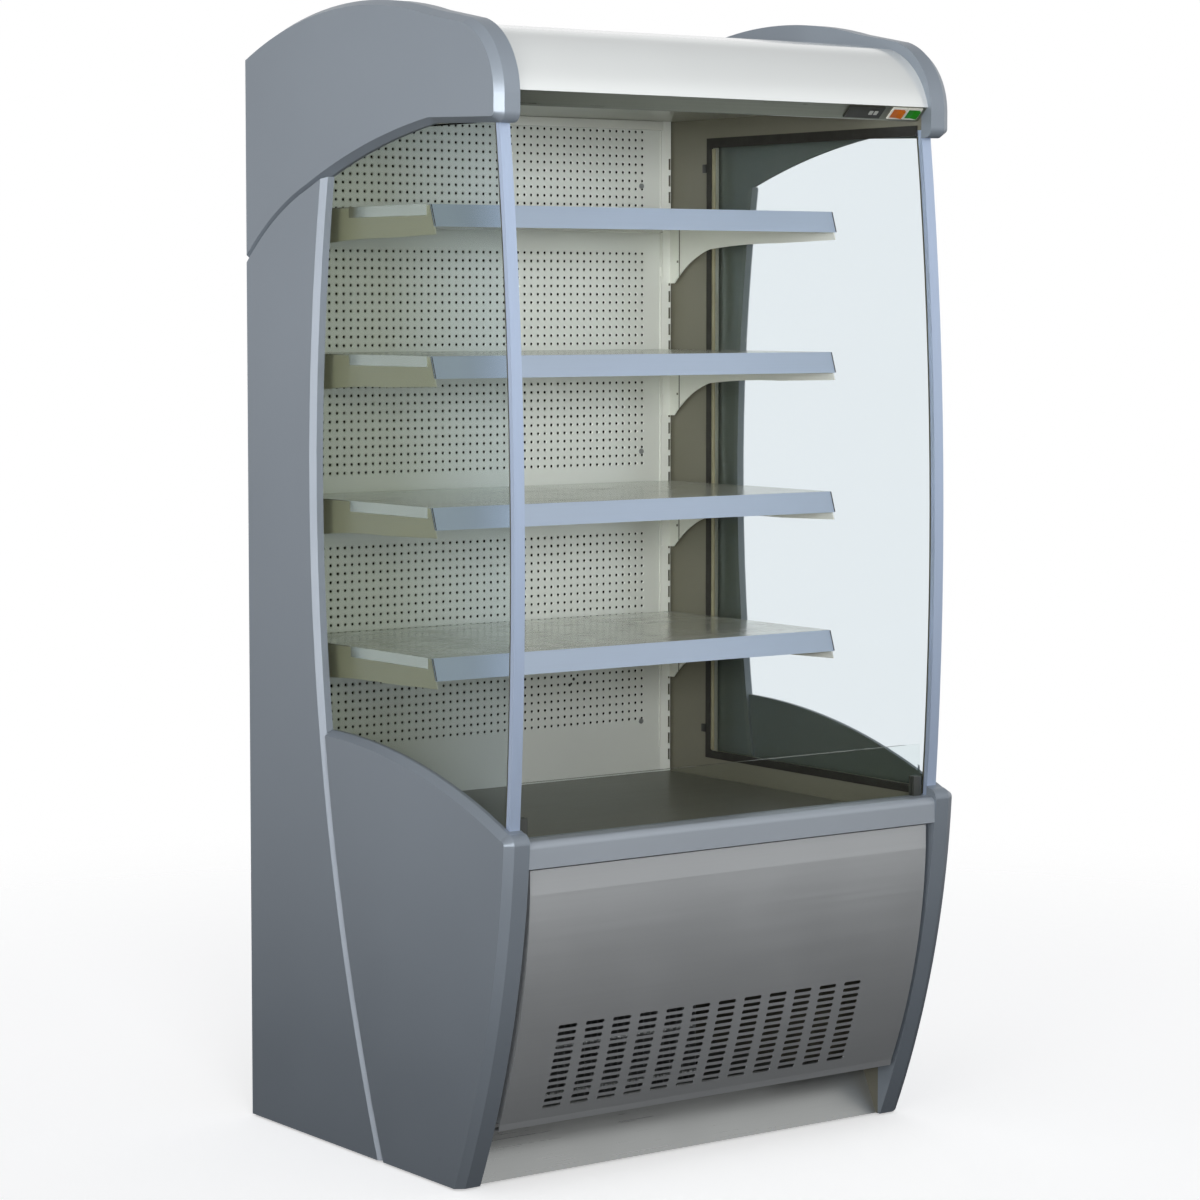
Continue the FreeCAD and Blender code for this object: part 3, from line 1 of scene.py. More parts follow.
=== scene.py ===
"""Looks of the open multideck display fridge: finishes, the perforated back panel and small fittings.

Metres, +Z up, +X to the right of someone facing the front, the front faces -Y.
"""
import math

import bmesh
import bpy
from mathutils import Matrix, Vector


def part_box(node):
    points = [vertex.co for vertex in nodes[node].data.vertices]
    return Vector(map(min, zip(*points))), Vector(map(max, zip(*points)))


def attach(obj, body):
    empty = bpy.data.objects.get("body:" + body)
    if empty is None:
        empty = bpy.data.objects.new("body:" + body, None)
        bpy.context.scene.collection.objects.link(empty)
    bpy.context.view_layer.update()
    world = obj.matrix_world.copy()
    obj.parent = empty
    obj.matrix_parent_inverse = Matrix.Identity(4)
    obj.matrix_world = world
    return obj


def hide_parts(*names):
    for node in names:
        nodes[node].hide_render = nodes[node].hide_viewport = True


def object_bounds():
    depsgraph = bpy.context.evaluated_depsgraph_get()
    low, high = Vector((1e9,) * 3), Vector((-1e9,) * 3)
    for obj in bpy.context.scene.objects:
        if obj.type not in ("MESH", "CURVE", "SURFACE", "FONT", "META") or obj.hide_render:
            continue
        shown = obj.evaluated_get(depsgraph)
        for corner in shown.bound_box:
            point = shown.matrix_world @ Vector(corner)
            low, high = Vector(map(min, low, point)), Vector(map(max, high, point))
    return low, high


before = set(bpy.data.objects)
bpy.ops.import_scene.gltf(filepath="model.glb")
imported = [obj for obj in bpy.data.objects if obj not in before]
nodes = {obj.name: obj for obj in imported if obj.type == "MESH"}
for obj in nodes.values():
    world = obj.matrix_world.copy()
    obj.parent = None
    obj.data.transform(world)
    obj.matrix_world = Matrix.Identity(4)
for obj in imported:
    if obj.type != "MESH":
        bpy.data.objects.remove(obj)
cad_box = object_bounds()


def srgb(red, green, blue):
    def linear(level):
        level /= 255
        return level / 12.92 if level <= 0.04045 else ((level + 0.055) / 1.055) ** 2.4
    return linear(red), linear(green), linear(blue), 1.0


# ---------------------------------------------------------------- materials

class Graph:
    """A material's node tree with one Principled shader, and short ways to add to it."""

    def __init__(self, name):
        self.material = bpy.data.materials.new(name)
        self.material.use_nodes = True
        self.tree = self.material.node_tree
        self.tree.nodes.clear()
        self.output = self.tree.nodes.new("ShaderNodeOutputMaterial")
        self.shader = self.tree.nodes.new("ShaderNodeBsdfPrincipled")
        self.join(self.shader.outputs[0], self.output.inputs["Surface"])
        self.place = self.tree.nodes.new("ShaderNodeTexCoord").outputs["Object"]

    def join(self, source, target):
        self.tree.links.new(source, target)

    def feed(self, target, value):
        if isinstance(value, bpy.types.NodeSocket):
            self.join(value, target)
        else:
            target.default_value = value

    def set(self, **values):
        for name, value in values.items():
            self.feed(self.shader.inputs[name.replace("_", " ")], value)

    def noise(self, scale, stretch=(1, 1, 1), detail=3.0, roughness=0.5):
        mapping = self.tree.nodes.new("ShaderNodeMapping")
        mapping.inputs["Scale"].default_value = stretch
        self.join(self.place, mapping.inputs["Vector"])
        noise = self.tree.nodes.new("ShaderNodeTexNoise")
        self.join(mapping.outputs[0], noise.inputs["Vector"])
        noise.inputs["Scale"].default_value = scale
        noise.inputs["Detail"].default_value = detail
        noise.inputs["Roughness"].default_value = roughness
        return noise.outputs["Fac"]

    def axis(self, letter):
        split = self.tree.nodes.new("ShaderNodeSeparateXYZ")
        self.join(self.place, split.inputs[0])
        return split.outputs[letter]

    def span(self, value, low, high, to_low=0.0, to_high=1.0, soft=False):
        """The value carried from one range to another, held at the ends."""
        step = self.tree.nodes.new("ShaderNodeMapRange")
        step.interpolation_type = "SMOOTHSTEP" if soft else "LINEAR"
        self.feed(step.inputs["Value"], value)
        for name, number in (("From Min", low), ("From Max", high), ("To Min", to_low), ("To Max", to_high)):
            step.inputs[name].default_value = number
        return step.outputs["Result"]

    def math(self, kind, first, second=0.0):
        node = self.tree.nodes.new("ShaderNodeMath")
        node.operation = kind
        self.feed(node.inputs[0], first)
        self.feed(node.inputs[1], second)
        return node.outputs[0]

    def mix(self, factor, first, second):
        node = self.tree.nodes.new("ShaderNodeMix")
        node.data_type = "RGBA"
        self.feed(node.inputs[0], factor)
        self.feed(node.inputs[6], first)
        self.feed(node.inputs[7], second)
        return node.outputs[2]

    def bump(self, height, strength, distance):
        node = self.tree.nodes.new("ShaderNodeBump")
        node.inputs["Strength"].default_value = strength
        node.inputs["Distance"].default_value = distance
        self.join(height, node.inputs["Height"])
        self.join(node.outputs[0], self.shader.inputs["Normal"])


def shade(colour, factor):
    return tuple(min(1.0, level * factor) for level in colour[:3]) + (1.0,)


def painted(name, colour, roughness=0.42, metallic=0.0, peel=0.05, coat=0.0, grime=0.1, drift_rough=0.02,
            specular=0.5):
    """A sprayed coat: orange peel, a slight drift of tone, and scuffs near the floor."""
    g = Graph(name)
    drift = g.span(g.noise(2.3, detail=2.0), 0.3, 0.7)
    tone = g.mix(drift, shade(colour, 0.97), shade(colour, 1.03))
    speck = g.span(g.noise(55, detail=4.0, roughness=0.65), 0.62, 0.72)
    low = g.span(g.axis("Z"), 0.02, 0.30, grime, 0.0, soft=True)
    g.set(Base_Color=g.mix(g.math("MULTIPLY", speck, low), tone, shade(colour, 0.55)),
          Roughness=g.span(g.noise(9, detail=3.0), 0.3, 0.7, roughness - drift_rough,
                           roughness + drift_rough),
          Metallic=metallic, Coat_Weight=coat, Coat_Roughness=0.08, Specular_IOR_Level=specular)
    g.bump(g.noise(420, detail=1.0), peel, 0.0004)
    return g.material


# noise stretch of brushed metal: fine across the grain, long along it
WIDTH_GRAIN = (2, 260, 260)
DEPTH_GRAIN = (260, 2, 260)
UPRIGHT_GRAIN = (260, 260, 2)
EVEN_GRAIN = (90, 90, 90)


def brushed(name, colour, roughness=0.34, metallic=0.9, grain=WIDTH_GRAIN, depth=0.10, smudge=0.05,
            specular=0.5):
    """Brushed or rolled sheet: long fine grain, and soft handling marks."""
    g = Graph(name)
    lines = g.noise(1.0, stretch=grain, detail=5.0, roughness=0.7)
    marks = g.span(g.noise(7, detail=4.0, roughness=0.6), 0.42, 0.68)
    base = g.mix(g.span(lines, 0.25, 0.75), shade(colour, 1 - depth), shade(colour, 1 + depth))
    rough = g.math("ADD", g.span(lines, 0.2, 0.8, roughness - 0.07, roughness + 0.07),
                   g.math("MULTIPLY", marks, smudge))
    g.set(Base_Color=base, Roughness=rough, Metallic=metallic, Specular_IOR_Level=specular)
    g.bump(lines, 0.04, 0.0003)
    return g.material


def moulded(name, colour, roughness=0.5, grain=900):
    """Moulded plastic or rubber with a fine texture."""
    g = Graph(name)
    drift = g.span(g.noise(18, detail=3.0), 0.3, 0.7)
    g.set(Base_Color=g.mix(drift, shade(colour, 0.88), shade(colour, 1.12)),
          Roughness=g.span(g.noise(60), 0.3, 0.7, roughness - 0.05, roughness + 0.06))
    g.bump(g.noise(grain, detail=2.0), 0.10, 0.0003)
    return g.material


def clear(name, tint, lamp_tint, roughness=0.0):
    """Glass that lets lamps and soft light through to what stands behind it."""
    g = Graph(name)
    smear = g.span(g.noise(4, detail=4.0, roughness=0.6), 0.45, 0.75, roughness, roughness + 0.006)
    g.set(Base_Color=tint, Roughness=smear, IOR=1.06)
    g.shader.inputs["Transmission Weight"].default_value = 1.0
    path = g.tree.nodes.new("ShaderNodeLightPath")
    window = g.tree.nodes.new("ShaderNodeBsdfTransparent")
    window.inputs[0].default_value = lamp_tint
    blend = g.tree.nodes.new("ShaderNodeMixShader")
    g.join(g.math("MAXIMUM", path.outputs["Is Shadow Ray"], path.outputs["Is Diffuse Ray"]), blend.inputs[0])
    g.join(g.shader.outputs[0], blend.inputs[1])
    g.join(window.outputs[0], blend.inputs[2])
    g.join(blend.outputs[0], g.output.inputs["Surface"])
    return g.material


BORDER_BLUR = 0.0005


def two_tone(name, near, far, axis, border, roughness=0.42):
    """A matt surface whose colour changes at a place along an axis."""
    g = Graph(name)
    drift = g.span(g.noise(40, detail=3.0), 0.3, 0.7, 0.0, 0.12)
    tone = g.mix(g.span(g.axis(axis), border - BORDER_BLUR, border + BORDER_BLUR), near, far)
    g.set(Base_Color=g.mix(drift, tone, shade(near, 0.7)),
          Roughness=g.span(g.noise(60), 0.3, 0.7, roughness - 0.05, roughness + 0.06))
    g.bump(g.noise(900, detail=2.0), 0.08, 0.0003)
    return g.material


def glowing(name, colour, strength):
    """A lit translucent plastic."""
    g = Graph(name)
    mottle = g.span(g.noise(140, detail=2.0), 0.3, 0.7)
    g.set(Base_Color=g.mix(mottle, shade(colour, 0.85), shade(colour, 1.15)), Roughness=0.28)
    g.shader.inputs["Emission Color"].default_value = colour
    g.shader.inputs["Emission Strength"].default_value = strength
    g.bump(g.noise(500, detail=1.0), 0.05, 0.0003)
    return g.material


BEZEL_BORDER = 0.346  # between the black thermostat bezel and the pale switch frames, along X
DUCT_SHADE_BORDER = 0.3785  # between the painted shade on the duct side (near black, for the shadow in the duct) and the outer side of the rear wall, along Y

SKIN = painted("skin_paint", srgb(144, 153, 163), roughness=0.40, metallic=0.25, specular=0.3)
TRIM = painted("trim_coat", srgb(150, 159, 170), roughness=0.38, metallic=0.15, specular=0.35)
POST = brushed("post_aluminium", srgb(178, 194, 219), roughness=0.34, metallic=0.35, grain=UPRIGHT_GRAIN,
               depth=0.03)
RAIL = brushed("rail_aluminium", srgb(180, 195, 216), roughness=0.40, metallic=0.3, depth=0.025)
FRONT = painted("front_rail_paint", srgb(173, 181, 190), roughness=0.36, metallic=0.2, grime=0.0,
                specular=0.35)
LINER = painted("liner_coat", srgb(122, 120, 106), roughness=0.38, grime=0.0, specular=0.3)
CEILING = painted("ceiling_coat", srgb(182, 183, 172), roughness=0.30, metallic=0.3, grime=0.0)
WALL = painted("outer_wall_sheet", srgb(150, 154, 156), roughness=0.45, metallic=0.4, grime=0.15)
WHITE = painted("white_gloss", srgb(238, 241, 240), roughness=0.20, metallic=0.35, peel=0.02, coat=0.3,
                grime=0.0)
BRACKET = painted("bracket_white", srgb(234, 237, 231), roughness=0.30, grime=0.0)
PANEL = painted("back_panel_coat", srgb(227, 231, 226), roughness=0.30, metallic=0.2, peel=0.03, grime=0.0,
                drift_rough=0.0, specular=0.3)
NOSE = brushed("nose_steel", srgb(133, 135, 122), roughness=0.30, metallic=0.8)
TRAY = brushed("tray_steel", srgb(222, 224, 218), roughness=0.20, metallic=0.5, depth=0.04)
DECK = brushed("deck_steel", srgb(122, 121, 111), roughness=0.38, metallic=0.1, depth=0.05, smudge=0.02,
               specular=0.3)
GRILLE = brushed("grille_steel", srgb(138, 132, 118), roughness=0.34, metallic=0.8)
SERVICE = brushed("service_steel", srgb(200, 203, 205), roughness=0.36, metallic=0.55, depth=0.02,
                  specular=0.3)
KICK = brushed("kick_steel", srgb(168, 170, 169), roughness=0.30, metallic=0.75, depth=0.03)
ZINC = brushed("zinc_steel", srgb(160, 163, 162), roughness=0.45, metallic=0.8, grain=EVEN_GRAIN,
               depth=0.08)
ENAMEL = painted("black_enamel", srgb(30, 31, 32), roughness=0.3, peel=0.08, coat=0.3)
FINS = brushed("fin_aluminium", srgb(190, 192, 192), roughness=0.35, metallic=0.9, grain=DEPTH_GRAIN)
BLACK = moulded("black_plastic", srgb(34, 34, 32), roughness=0.42)
BEZEL = two_tone("bezel_plastic", srgb(44, 44, 38), srgb(238, 236, 226), "X", BEZEL_BORDER)
# The near colour is painted shade: the duct side of the rear wall is made near black for the shadow in the
# closed duct behind the panel's holes.
REAR_SHEET_AND_DUCT_SHADE = two_tone("rear_wall_sheet_and_duct_shade", srgb(26, 26, 24), srgb(150, 154, 156), "Y", DUCT_SHADE_BORDER,
                roughness=0.5)
RUBBER = moulded("gasket_rubber", srgb(33, 31, 26), roughness=0.6)
KEY = moulded("key_rubber", srgb(176, 178, 172), roughness=0.5)
CLAMP = moulded("clamp_plastic", srgb(70, 72, 68), roughness=0.35)
BEAD = painted("bead_white", srgb(236, 238, 232), roughness=0.26, metallic=0.1, grime=0.0)
LIP = moulded("seal_lip", srgb(150, 146, 120), roughness=0.5)
# Painted shadow: the dark grey of the bracket fold and rivet stands in for their shade.
FOLD_SHADOW = painted("fold_shadow", srgb(120, 120, 112), roughness=0.4, grime=0.0)
SPACER = painted("spacer_aluminium", srgb(190, 190, 182), roughness=0.35, metallic=0.6, grime=0.0)
LAMP = glowing("lamp_tube", srgb(230, 238, 244), 3.0)
ORANGE = glowing("switch_orange", srgb(188, 98, 18), 0.05)
GREEN = glowing("switch_green", srgb(30, 128, 20), 0.04)
GLASS = clear("side_glazing", srgb(241, 245, 247), srgb(229, 228, 217))
RISER = clear("riser_glazing", srgb(248, 251, 250), srgb(245, 247, 245))

FINISH = {
    SKIN: "hood_side_left side_column_left lower_side_left "
          "hood_side_right side_column_right lower_side_right",
    TRIM: "column_trims",
    POST: "glass_posts",
    RAIL: "price_rail_1 price_rail_2 price_rail_3 price_rail_4",
    FRONT: "front_rail",
    LINER: "side_walls",
    CEILING: "ceiling_panel",
    WALL: "roof_wall base_tub",
    REAR_SHEET_AND_DUCT_SHADE: "rear_wall",
    WHITE: "canopy_front",
    BRACKET: "shelf_uprights shelf_brackets_1 shelf_brackets_2 shelf_brackets_3 shelf_brackets_4",
    NOSE: "canopy_nose",
    TRAY: "shelf_tray_1 shelf_tray_2 shelf_tray_3 shelf_tray_4",
    DECK: "deck_tray",
    GRILLE: "return_grille",
    SERVICE: "service_panel",
    KICK: "kickplate",
    ZINC: "panel_screws panel_pins chassis levelling_feet rear_grille",
    ENAMEL: "compressor",
    FINS: "condenser evaporator",
    BEZEL: "control_bezels",
    BLACK: "fan_shroud fan_plate condenser_fan evaporator_fan air_honeycomb cable_gland",
    CLAMP: "riser_clamps",
    RUBBER: "glass_gaskets",
    KEY: "key_up key_down",
    SPACER: "glass_spacers",
    LAMP: "ceiling_lamp",
    ORANGE: "rocker_orange",
    GREEN: "rocker_green",
    GLASS: "side_glass",
    RISER: "riser_glass",
    PANEL: "back_panel",
}
for material, names in FINISH.items():
    for name in names.split():
        slots = nodes[name].material_slots
        for slot in slots:
            slot.material = material
        if not slots:
            nodes[name].data.materials.append(material)


# ---------------------------------------------------------------- mesh helpers

SIDES = (-1, 1)


def piece(name, mesh, material, body):
    """A finished mesh as a piece that rides on a body."""
    data = bpy.data.meshes.new(name)
    mesh.to_mesh(data)
    mesh.free()
    data.materials.append(material)
    thing = bpy.data.objects.new(name, data)
    bpy.context.scene.collection.objects.link(thing)
    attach(thing, body)
    return thing


def smooth(thing, angle=0.6):
    """Smooth shading apart from edges sharper than the angle in radians."""
    mesh = bmesh.new()
    mesh.from_mesh(thing.data)
    for face in mesh.faces:
        face.smooth = True
    for edge in mesh.edges:
        if len(edge.link_faces) == 2 and edge.calc_face_angle(0) > angle:
            edge.smooth = False
    mesh.to_mesh(thing.data)
    mesh.free()


def gathered(name, makers, material, body, slot, *given):
    """One piece from several makers, each called with the mesh to add to and what is given."""
    mesh = bmesh.new()
    for maker in makers:
        maker(mesh, *given)
    smooth(piece(name, mesh, material, body))


def spanned(side, near, far):
    """Low and high X of a span given from the middle outwards, on the left (-1) or right (1)."""
    return (near, far) if side > 0 else (-far, -near)


def cuboid(mesh, low, high):
    """The vertices of a new sharp-edged box between two corners."""
    made = bmesh.ops.create_cube(mesh, size=1.0)["verts"]
    low, high = Vector(low), Vector(high)
    for vert in made:
        vert.co = Vector((low[i] + (vert.co[i] + 0.5) * (high[i] - low[i])) for i in range(3))
    return made


def block(mesh, low, high, bevel):
    """A box between two corners, with its edges rounded."""
    made = cuboid(mesh, low, high)
    edges = list(dict.fromkeys(edge for vert in made for edge in vert.link_edges))
    bmesh.ops.bevel(mesh, geom=edges, offset=bevel, segments=2, profile=0.5, affect="EDGES")


def disc(mesh, centre, radius, low, high, sides=14, rim=0.0004, crown=0.8):
    """A low boss along Y, open at the back, whose front edge is chamfered."""
    rings = []
    for y, reach in ((high, radius), (low + rim, radius), (low, radius * crown)):
        rings.append([mesh.verts.new((centre[0] + reach * math.cos(2 * math.pi * n / sides), y,
                                      centre[1] + reach * math.sin(2 * math.pi * n / sides)))
                      for n in range(sides)])
    for outer, inner in zip(rings, rings[1:]):
        for n in range(sides):
            mesh.faces.new((outer[n], outer[(n + 1) % sides], inner[(n + 1) % sides], inner[n]))
    mesh.faces.new(rings[-1])


# ---------------------------------------------------------------- perforated back panel

PANEL_LOW, PANEL_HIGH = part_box("back_panel")
PANEL_FACE = PANEL_LOW.y
HOLE_PITCH = 0.0150
HOLE_ROW_PITCH = 0.0153
HOLE_COLUMNS = 49
HOLE_RADIUS = 0.0026
DIMPLE_RADIUS = 0.0041
DIMPLE_DEEP = 0.0011
HOLE_SIDES = 8
HOLE_TURNS = [2 * math.pi * side / HOLE_SIDES for side in range(HOLE_SIDES)]
# height of a band's lowest row, and its number of rows
HOLE_BANDS = ((0.658, 8), (0.858, 11), (1.1446, 11), (1.3566, 13), (1.6002, 12))
WELD = 0.00005


def rectangle(mesh, x_low, x_high, z_low, z_high):
    """A plain part of the panel's front face."""
    corners = ((x_low, z_low), (x_high, z_low), (x_high, z_high), (x_low, z_high))
    mesh.faces.new([mesh.verts.new((x, PANEL_FACE, z)) for x, z in corners])


def punched_cell(mesh, x, z):
    """One pitch of the front face with a dimple and a hole in its middle."""
    edge = []
    for turn in HOLE_TURNS:
        across, up = math.cos(turn), math.sin(turn)
        reach = 1 / max(abs(across), abs(up))
        edge.append(mesh.verts.new((x + across * reach * HOLE_PITCH / 2, PANEL_FACE,
                                    z + up * reach * HOLE_ROW_PITCH / 2)))
    rings = [edge]
    for radius, y in ((DIMPLE_RADIUS, PANEL_FACE), (HOLE_RADIUS, PANEL_FACE + DIMPLE_DEEP),
                      (HOLE_RADIUS, PANEL_HIGH.y)):
        rings.append([mesh.verts.new((x + math.cos(turn) * radius, y, z + math.sin(turn) * radius))
                      for turn in HOLE_TURNS])
    for outer, inner in zip(rings, rings[1:]):
        for side in range(HOLE_SIDES):
            after = (side + 1) % HOLE_SIDES
            made = mesh.faces.new((outer[side], outer[after], inner[after], inner[side]))
            made.smooth = outer is rings[1]


def perforated_panel():
    """Sheet with punched and dimpled holes in bands."""
    mesh = bmesh.new()
    first_x = -HOLE_PITCH * (HOLE_COLUMNS - 1) / 2
    field_low = first_x - HOLE_PITCH / 2
    lower = PANEL_LOW.z
    for start, rows in HOLE_BANDS:
        band_low = start - HOLE_ROW_PITCH / 2
        band_high = start + HOLE_ROW_PITCH * (rows - 1) + HOLE_ROW_PITCH / 2
        rectangle(mesh, PANEL_LOW.x, PANEL_HIGH.x, lower, band_low)
        rectangle(mesh, PANEL_LOW.x, field_low, band_low, band_high)
        rectangle(mesh, -field_low, PANEL_HIGH.x, band_low, band_high)
        lower = band_high
        for row in range(rows):
            for column in range(HOLE_COLUMNS):
                punched_cell(mesh, first_x + HOLE_PITCH * column, start + HOLE_ROW_PITCH * row)
    rectangle(mesh, PANEL_LOW.x, PANEL_HIGH.x, lower, PANEL_HIGH.z)
    bmesh.ops.remove_doubles(mesh, verts=mesh.verts, dist=WELD)
    thing = piece("perforated_panel", mesh, PANEL, "cabinet")
    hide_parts("back_panel")


perforated_panel()


# ---------------------------------------------------------------- small fittings of the cabinet

LINER_X = 0.430
SKIM = 0.0002  # between a fitting and the sheet that it lies on
EDGE_GAP = 0.0005  # between the ends of neighbouring fittings

CLIP_HEIGHTS = ((0.638, 0.653), (1.690, 1.706))
CLIP_PROUD, CLIP_SUNK = 0.0035, 0.0015
CLIP_FRONT, CLIP_BACK = 0.2495, 0.2620

UPRIGHT_EDGE = PANEL_HIGH.x
UPRIGHT_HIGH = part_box("shelf_uprights")[1]
FLANGE_DEEP, FLANGE_HIGH, FLANGE_INSET = 0.0100, 0.0170, 0.0010
BEAD_INNER, BEAD_OUTER, BEAD_PROUD = 0.0024, 0.0004, 0.0022
BEAD_FOOT = 0.600  # above the deck when it is lifted
BEAD_HEAD = UPRIGHT_HIGH.z - FLANGE_HIGH - 2 * EDGE_GAP

LIP_INNER, LIP_OUTER = 0.4285, 0.4325
LIP_FRONT, LIP_BACK = 0.2282, 0.2352
LIP_FOOT, LIP_HEAD = 0.606, 1.734

KNOCK_OUTS = ((0.1904, 0.7326), (0.1999, 0.7433), (0.2254, 0.7355))
KNOCK_OUT_RADIUS, KNOCK_OUT_PROUD = 0.0030, 0.0006


def glazing_clips(mesh):
    """Clips that hold the rear edge of the glass seal to the liner."""
    for side in SIDES:
        x_low, x_high = spanned(side, LINER_X - CLIP_PROUD, LINER_X + CLIP_SUNK)
        for low, high in CLIP_HEIGHTS:
            block(mesh, (x_low, CLIP_FRONT, low), (x_high, CLIP_BACK, high), bevel=0.0008)


def top_flange(mesh):
    """The turned edge of the back panel under the ceiling."""
    half = UPRIGHT_EDGE - FLANGE_INSET
    head = PANEL_HIGH.z - EDGE_GAP
    block(mesh, (-half, PANEL_FACE - FLANGE_DEEP, head - FLANGE_HIGH), (half, PANEL_FACE - SKIM, head),
          bevel=0.0010)


def upright_beads(mesh):
    """The bright folded edge of each upright beside the panel."""
    for side in SIDES:
        x_low, x_high = spanned(side, UPRIGHT_EDGE - BEAD_INNER, UPRIGHT_EDGE + BEAD_OUTER)
        block(mesh, (x_low, PANEL_FACE - BEAD_PROUD, BEAD_FOOT), (x_high, PANEL_FACE - SKIM, BEAD_HEAD),
              bevel=0.0006)


def gasket_lips(mesh):
    """Pale edge of the glass seal, beside the black frame."""
    for side in SIDES:
        x_low, x_high = spanned(side, LIP_INNER, LIP_OUTER)
        block(mesh, (x_low, LIP_FRONT, LIP_FOOT), (x_high, LIP_BACK, LIP_HEAD), bevel=0.0005)


def knock_out_plugs(mesh):
    """Dark plugs in the knock-out holes of the back panel, above the deck."""
    for centre in KNOCK_OUTS:
        disc(mesh, centre, KNOCK_OUT_RADIUS, PANEL_FACE - KNOCK_OUT_PROUD, PANEL_FACE)


gathered("glazing_clips", [glazing_clips], BLACK, "cabinet", "black_rubber")
gathered("panel_flange", [top_flange, upright_beads], BEAD, "cabinet", "white_paint")
gathered("gasket_lips", [gasket_lips], LIP, "cabinet", "white_paint")
gathered("knock_out_plugs", [knock_out_plugs], BLACK, "cabinet", "black_rubber")


# ---------------------------------------------------------------- small fittings of the shelves

SHELVES = (1, 2, 3, 4)

PLATE_INNER, PLATE_OUTER = 0.4220, 0.4233
FOLD_FRONT, FOLD_BACK = 0.3264, 0.3282
FOLD_UP, FOLD_DOWN = 0.012, 0.004
RIVET_FRONT, RIVET_BACK = 0.3310, 0.3350
RIVET_DROP, RIVET_HIGH = 0.0850, 0.0040

RAIL_LEAN = 0.0125  # how far the foot of a price rail stands in front of its head
CAP_THICK, CAP_INSET = 0.0011, 0.0001
CAP_DEEPER = 0.0012
CAP_UP, CAP_DOWN = 0.0010, 0.0004


def bracket_marks(mesh, box):
    """The pressed fold and a rivet on each bracket plate, drawn as strips of painted shadow."""
    low, high = box
    rivet_low = high.z - RIVET_DROP
    for side in SIDES:
        x_low, x_high = spanned(side, PLATE_INNER, PLATE_OUTER)
        block(mesh, (x_low, FOLD_FRONT, low.z + FOLD_UP), (x_high, FOLD_BACK, high.z - FOLD_DOWN),
              bevel=0.0003)
        block(mesh, (x_low, RIVET_FRONT, rivet_low), (x_high, RIVET_BACK, rivet_low + RIVET_HIGH),
              bevel=0.0003)


def rail_ends(mesh, box):
    """Dark end caps of a price rail, sheared like its section."""
    low, high = box
    for side in SIDES:
        x_low, x_high = spanned(side, high.x - CAP_INSET - CAP_THICK, high.x - CAP_INSET)
        corners = cuboid(mesh, (x_low, low.y + RAIL_LEAN - CAP_DEEPER, low.z + CAP_UP),
                         (x_high, high.y + CAP_DEEPER, high.z - CAP_DOWN))
        for vert in corners:
            vert.co.y -= RAIL_LEAN * (high.z - vert.co.z) / (high.z - low.z)


for shelf in SHELVES:
    gathered(f"bracket_marks_{shelf}", [bracket_marks], FOLD_SHADOW, f"brackets_{shelf}", "white_paint",
             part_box(f"shelf_brackets_{shelf}"))
    gathered(f"rail_ends_{shelf}", [rail_ends], BLACK, f"shelf_{shelf}", "black_rubber",
             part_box(f"price_rail_{shelf}"))


# ---------------------------------------------------------------- stage

WHITE_LIGHT = (1.0, 1.0, 1.0, 1.0)
ROOM_LIGHT = (0.61, 0.615, 0.63, 1.0)
ROOM_FLOOR_LIGHT = (0.08, 0.08, 0.08, 1.0)
CEILING_LIGHT = (0.55, 0.55, 0.55, 1.0)
HORIZON = (-0.35, 0.05)
WALL_TOP = (0.42, 0.72)
FLOOR_RADIUS = 7.0
FLOOR_CLEAR = (1.4, 3.6)
FLOOR_GLOW = 0.5
FLOOR_DROP = 0.0005
FLOOR_SEEN = (0.93, 0.93, 0.93, 1.0)
FLOOR_FELT = (0.07, 0.07, 0.07, 1.0)  # for the light that the floor throws back at the part


def ray_kind(tree, *kinds):
    """1 for rays of any of these kinds."""
    path = tree.nodes.new("ShaderNodeLightPath")
    total = path.outputs[kinds[0]]
    for kind in kinds[1:]:
        most = tree.nodes.new("ShaderNodeMath")
        most.operation = "MAXIMUM"
        tree.links.new(total, most.inputs[0])
        tree.links.new(path.outputs[kind], most.inputs[1])
        total = most.outputs[0]
    return total


def seen_directly(tree):
    """1 for rays that show the background to the camera, also through glass."""
    return ray_kind(tree, "Is Camera Ray", "Is Transmission Ray")


def make_world():
    """White to the eye; for the part, a pale room over a dim floor, mirrored with a dimmer ceiling."""
    world = bpy.data.worlds.new("studio")
    bpy.context.scene.world = world
    world.use_nodes = True
    tree = world.node_tree
    tree.nodes.clear()

    def mix(factor, first, second):
        node = tree.nodes.new("ShaderNodeMix")
        node.data_type = "RGBA"
        tree.links.new(factor, node.inputs[0])
        for socket, value in ((node.inputs[6], first), (node.inputs[7], second)):
            if isinstance(value, tuple):
                socket.default_value = value
            else:
                tree.links.new(value, socket)
        return node.outputs[2]

    split = tree.nodes.new("ShaderNodeSeparateXYZ")
    tree.links.new(tree.nodes.new("ShaderNodeTexCoord").outputs["Generated"], split.inputs[0])
    height = split.outputs["Z"]

    def risen(low, high):
        """0 below a height on the sky, 1 above the other."""
        step = tree.nodes.new("ShaderNodeMapRange")
        step.interpolation_type = "SMOOTHSTEP"
        tree.links.new(height, step.inputs["Value"])
        step.inputs["From Min"].default_value = low
        step.inputs["From Max"].default_value = high
        return step.outputs["Result"]

    soft = mix(height, ROOM_FLOOR_LIGHT, ROOM_LIGHT)
    mirrored_room = mix(risen(*HORIZON), ROOM_FLOOR_LIGHT, WHITE_LIGHT)
    mirrored_room = mix(risen(*WALL_TOP), mirrored_room, CEILING_LIGHT)
    room = mix(ray_kind(tree, "Is Glossy Ray"), soft, mirrored_room)
    output = tree.nodes.new("ShaderNodeOutputWorld")
    background = tree.nodes.new("ShaderNodeBackground")
    tree.links.new(mix(seen_directly(tree), room, WHITE_LIGHT), background.inputs["Color"])
    tree.links.new(background.outputs[0], output.inputs["Surface"])


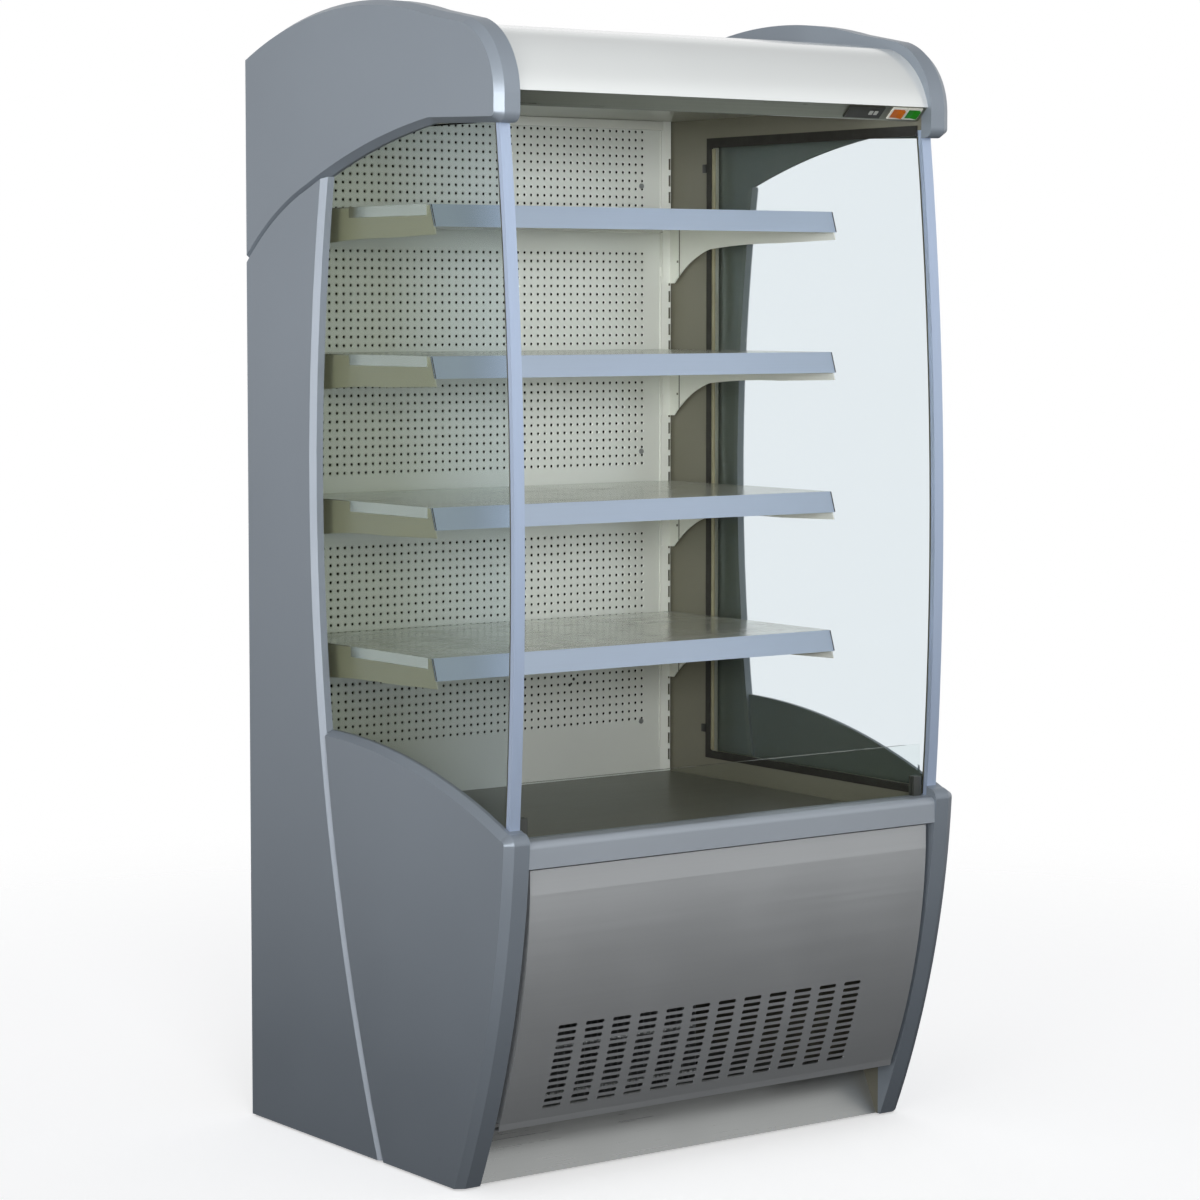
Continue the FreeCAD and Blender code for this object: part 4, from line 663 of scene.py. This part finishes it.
def make_floor():
    """Pale paper disc that fades into the white background, and gives the part little light."""
    mesh = bmesh.new()
    bmesh.ops.create_circle(mesh, cap_ends=True, segments=96, radius=FLOOR_RADIUS)
    data = bpy.data.meshes.new("floor")
    mesh.to_mesh(data)
    mesh.free()
    floor = bpy.data.objects.new("floor", data)
    bpy.context.scene.collection.objects.link(floor)
    floor.location.z = cad_box[0].z - FLOOR_DROP
    g = Graph("floor_paper")
    diffuse = g.tree.nodes.new("ShaderNodeBsdfDiffuse")
    tone = g.mix(seen_directly(g.tree), FLOOR_FELT, FLOOR_SEEN)
    g.join(tone, diffuse.inputs["Color"])
    window = g.tree.nodes.new("ShaderNodeBsdfTransparent")
    distance = g.tree.nodes.new("ShaderNodeVectorMath")
    distance.operation = "LENGTH"
    g.join(g.place, distance.inputs[0])
    glow = g.tree.nodes.new("ShaderNodeEmission")
    g.join(g.math("MULTIPLY", seen_directly(g.tree), FLOOR_GLOW), glow.inputs["Strength"])
    lit = g.tree.nodes.new("ShaderNodeAddShader")
    g.join(diffuse.outputs[0], lit.inputs[0])
    g.join(glow.outputs[0], lit.inputs[1])
    blend = g.tree.nodes.new("ShaderNodeMixShader")
    g.join(g.span(distance.outputs["Value"], *FLOOR_CLEAR, soft=True), blend.inputs[0])
    g.join(lit.outputs[0], blend.inputs[1])
    g.join(window.outputs[0], blend.inputs[2])
    g.join(blend.outputs[0], g.output.inputs["Surface"])
    g.tree.nodes.remove(g.shader)
    data.materials.append(g.material)


def lamp(name, place, aim, size, power, tint, spread=50):
    """A soft box that shines from a place at a point of the part."""
    data = bpy.data.lights.new(name, "AREA")
    data.shape = "RECTANGLE"
    data.size, data.size_y = size
    data.energy = power
    data.spread = math.radians(spread)
    data.color = tint
    light = bpy.data.objects.new(name, data)
    light.location = place
    light.rotation_mode = "QUATERNION"
    light.rotation_quaternion = (Vector(aim) - Vector(place)).to_track_quat("-Z", "Y")
    bpy.context.scene.collection.objects.link(light)


make_world()
make_floor()
lamp("front_soft", place=(-2.5, -4.9, 1.8), aim=(0, 0, 1.7), size=(1.4, 1.0), power=14,
     tint=(0.98, 0.99, 1.0))
lamp("left_soft", place=(-4.6, -2.4, 1.6), aim=(0, 0, 1.6), size=(2.8, 2.4), power=11.5,
     tint=(1.0, 0.99, 0.98))
lamp("right_soft", place=(4.6, -1.6, 1.7), aim=(0, 0, 1.5), size=(2.8, 2.4), power=4,
     tint=(0.98, 0.99, 1.0))

CAMERA_PLACE = (-3.5334, -4.8697, 1.4494)
CAMERA_AZIMUTH = 0.62766
CAMERA_TILT = 0.06907
CAMERA_LENS = 103.24
CAMERA_SHIFT = -0.05

camera_data = bpy.data.cameras.new("camera")
camera_data.lens = CAMERA_LENS
camera_data.sensor_width = 36
camera_data.shift_y = CAMERA_SHIFT
camera = bpy.data.objects.new("camera", camera_data)
bpy.context.scene.collection.objects.link(camera)
camera.location = CAMERA_PLACE
camera.rotation_euler = (math.pi / 2 - CAMERA_TILT, 0, -CAMERA_AZIMUTH)
bpy.context.scene.camera = camera
bpy.context.scene.view_settings.view_transform = "Standard"
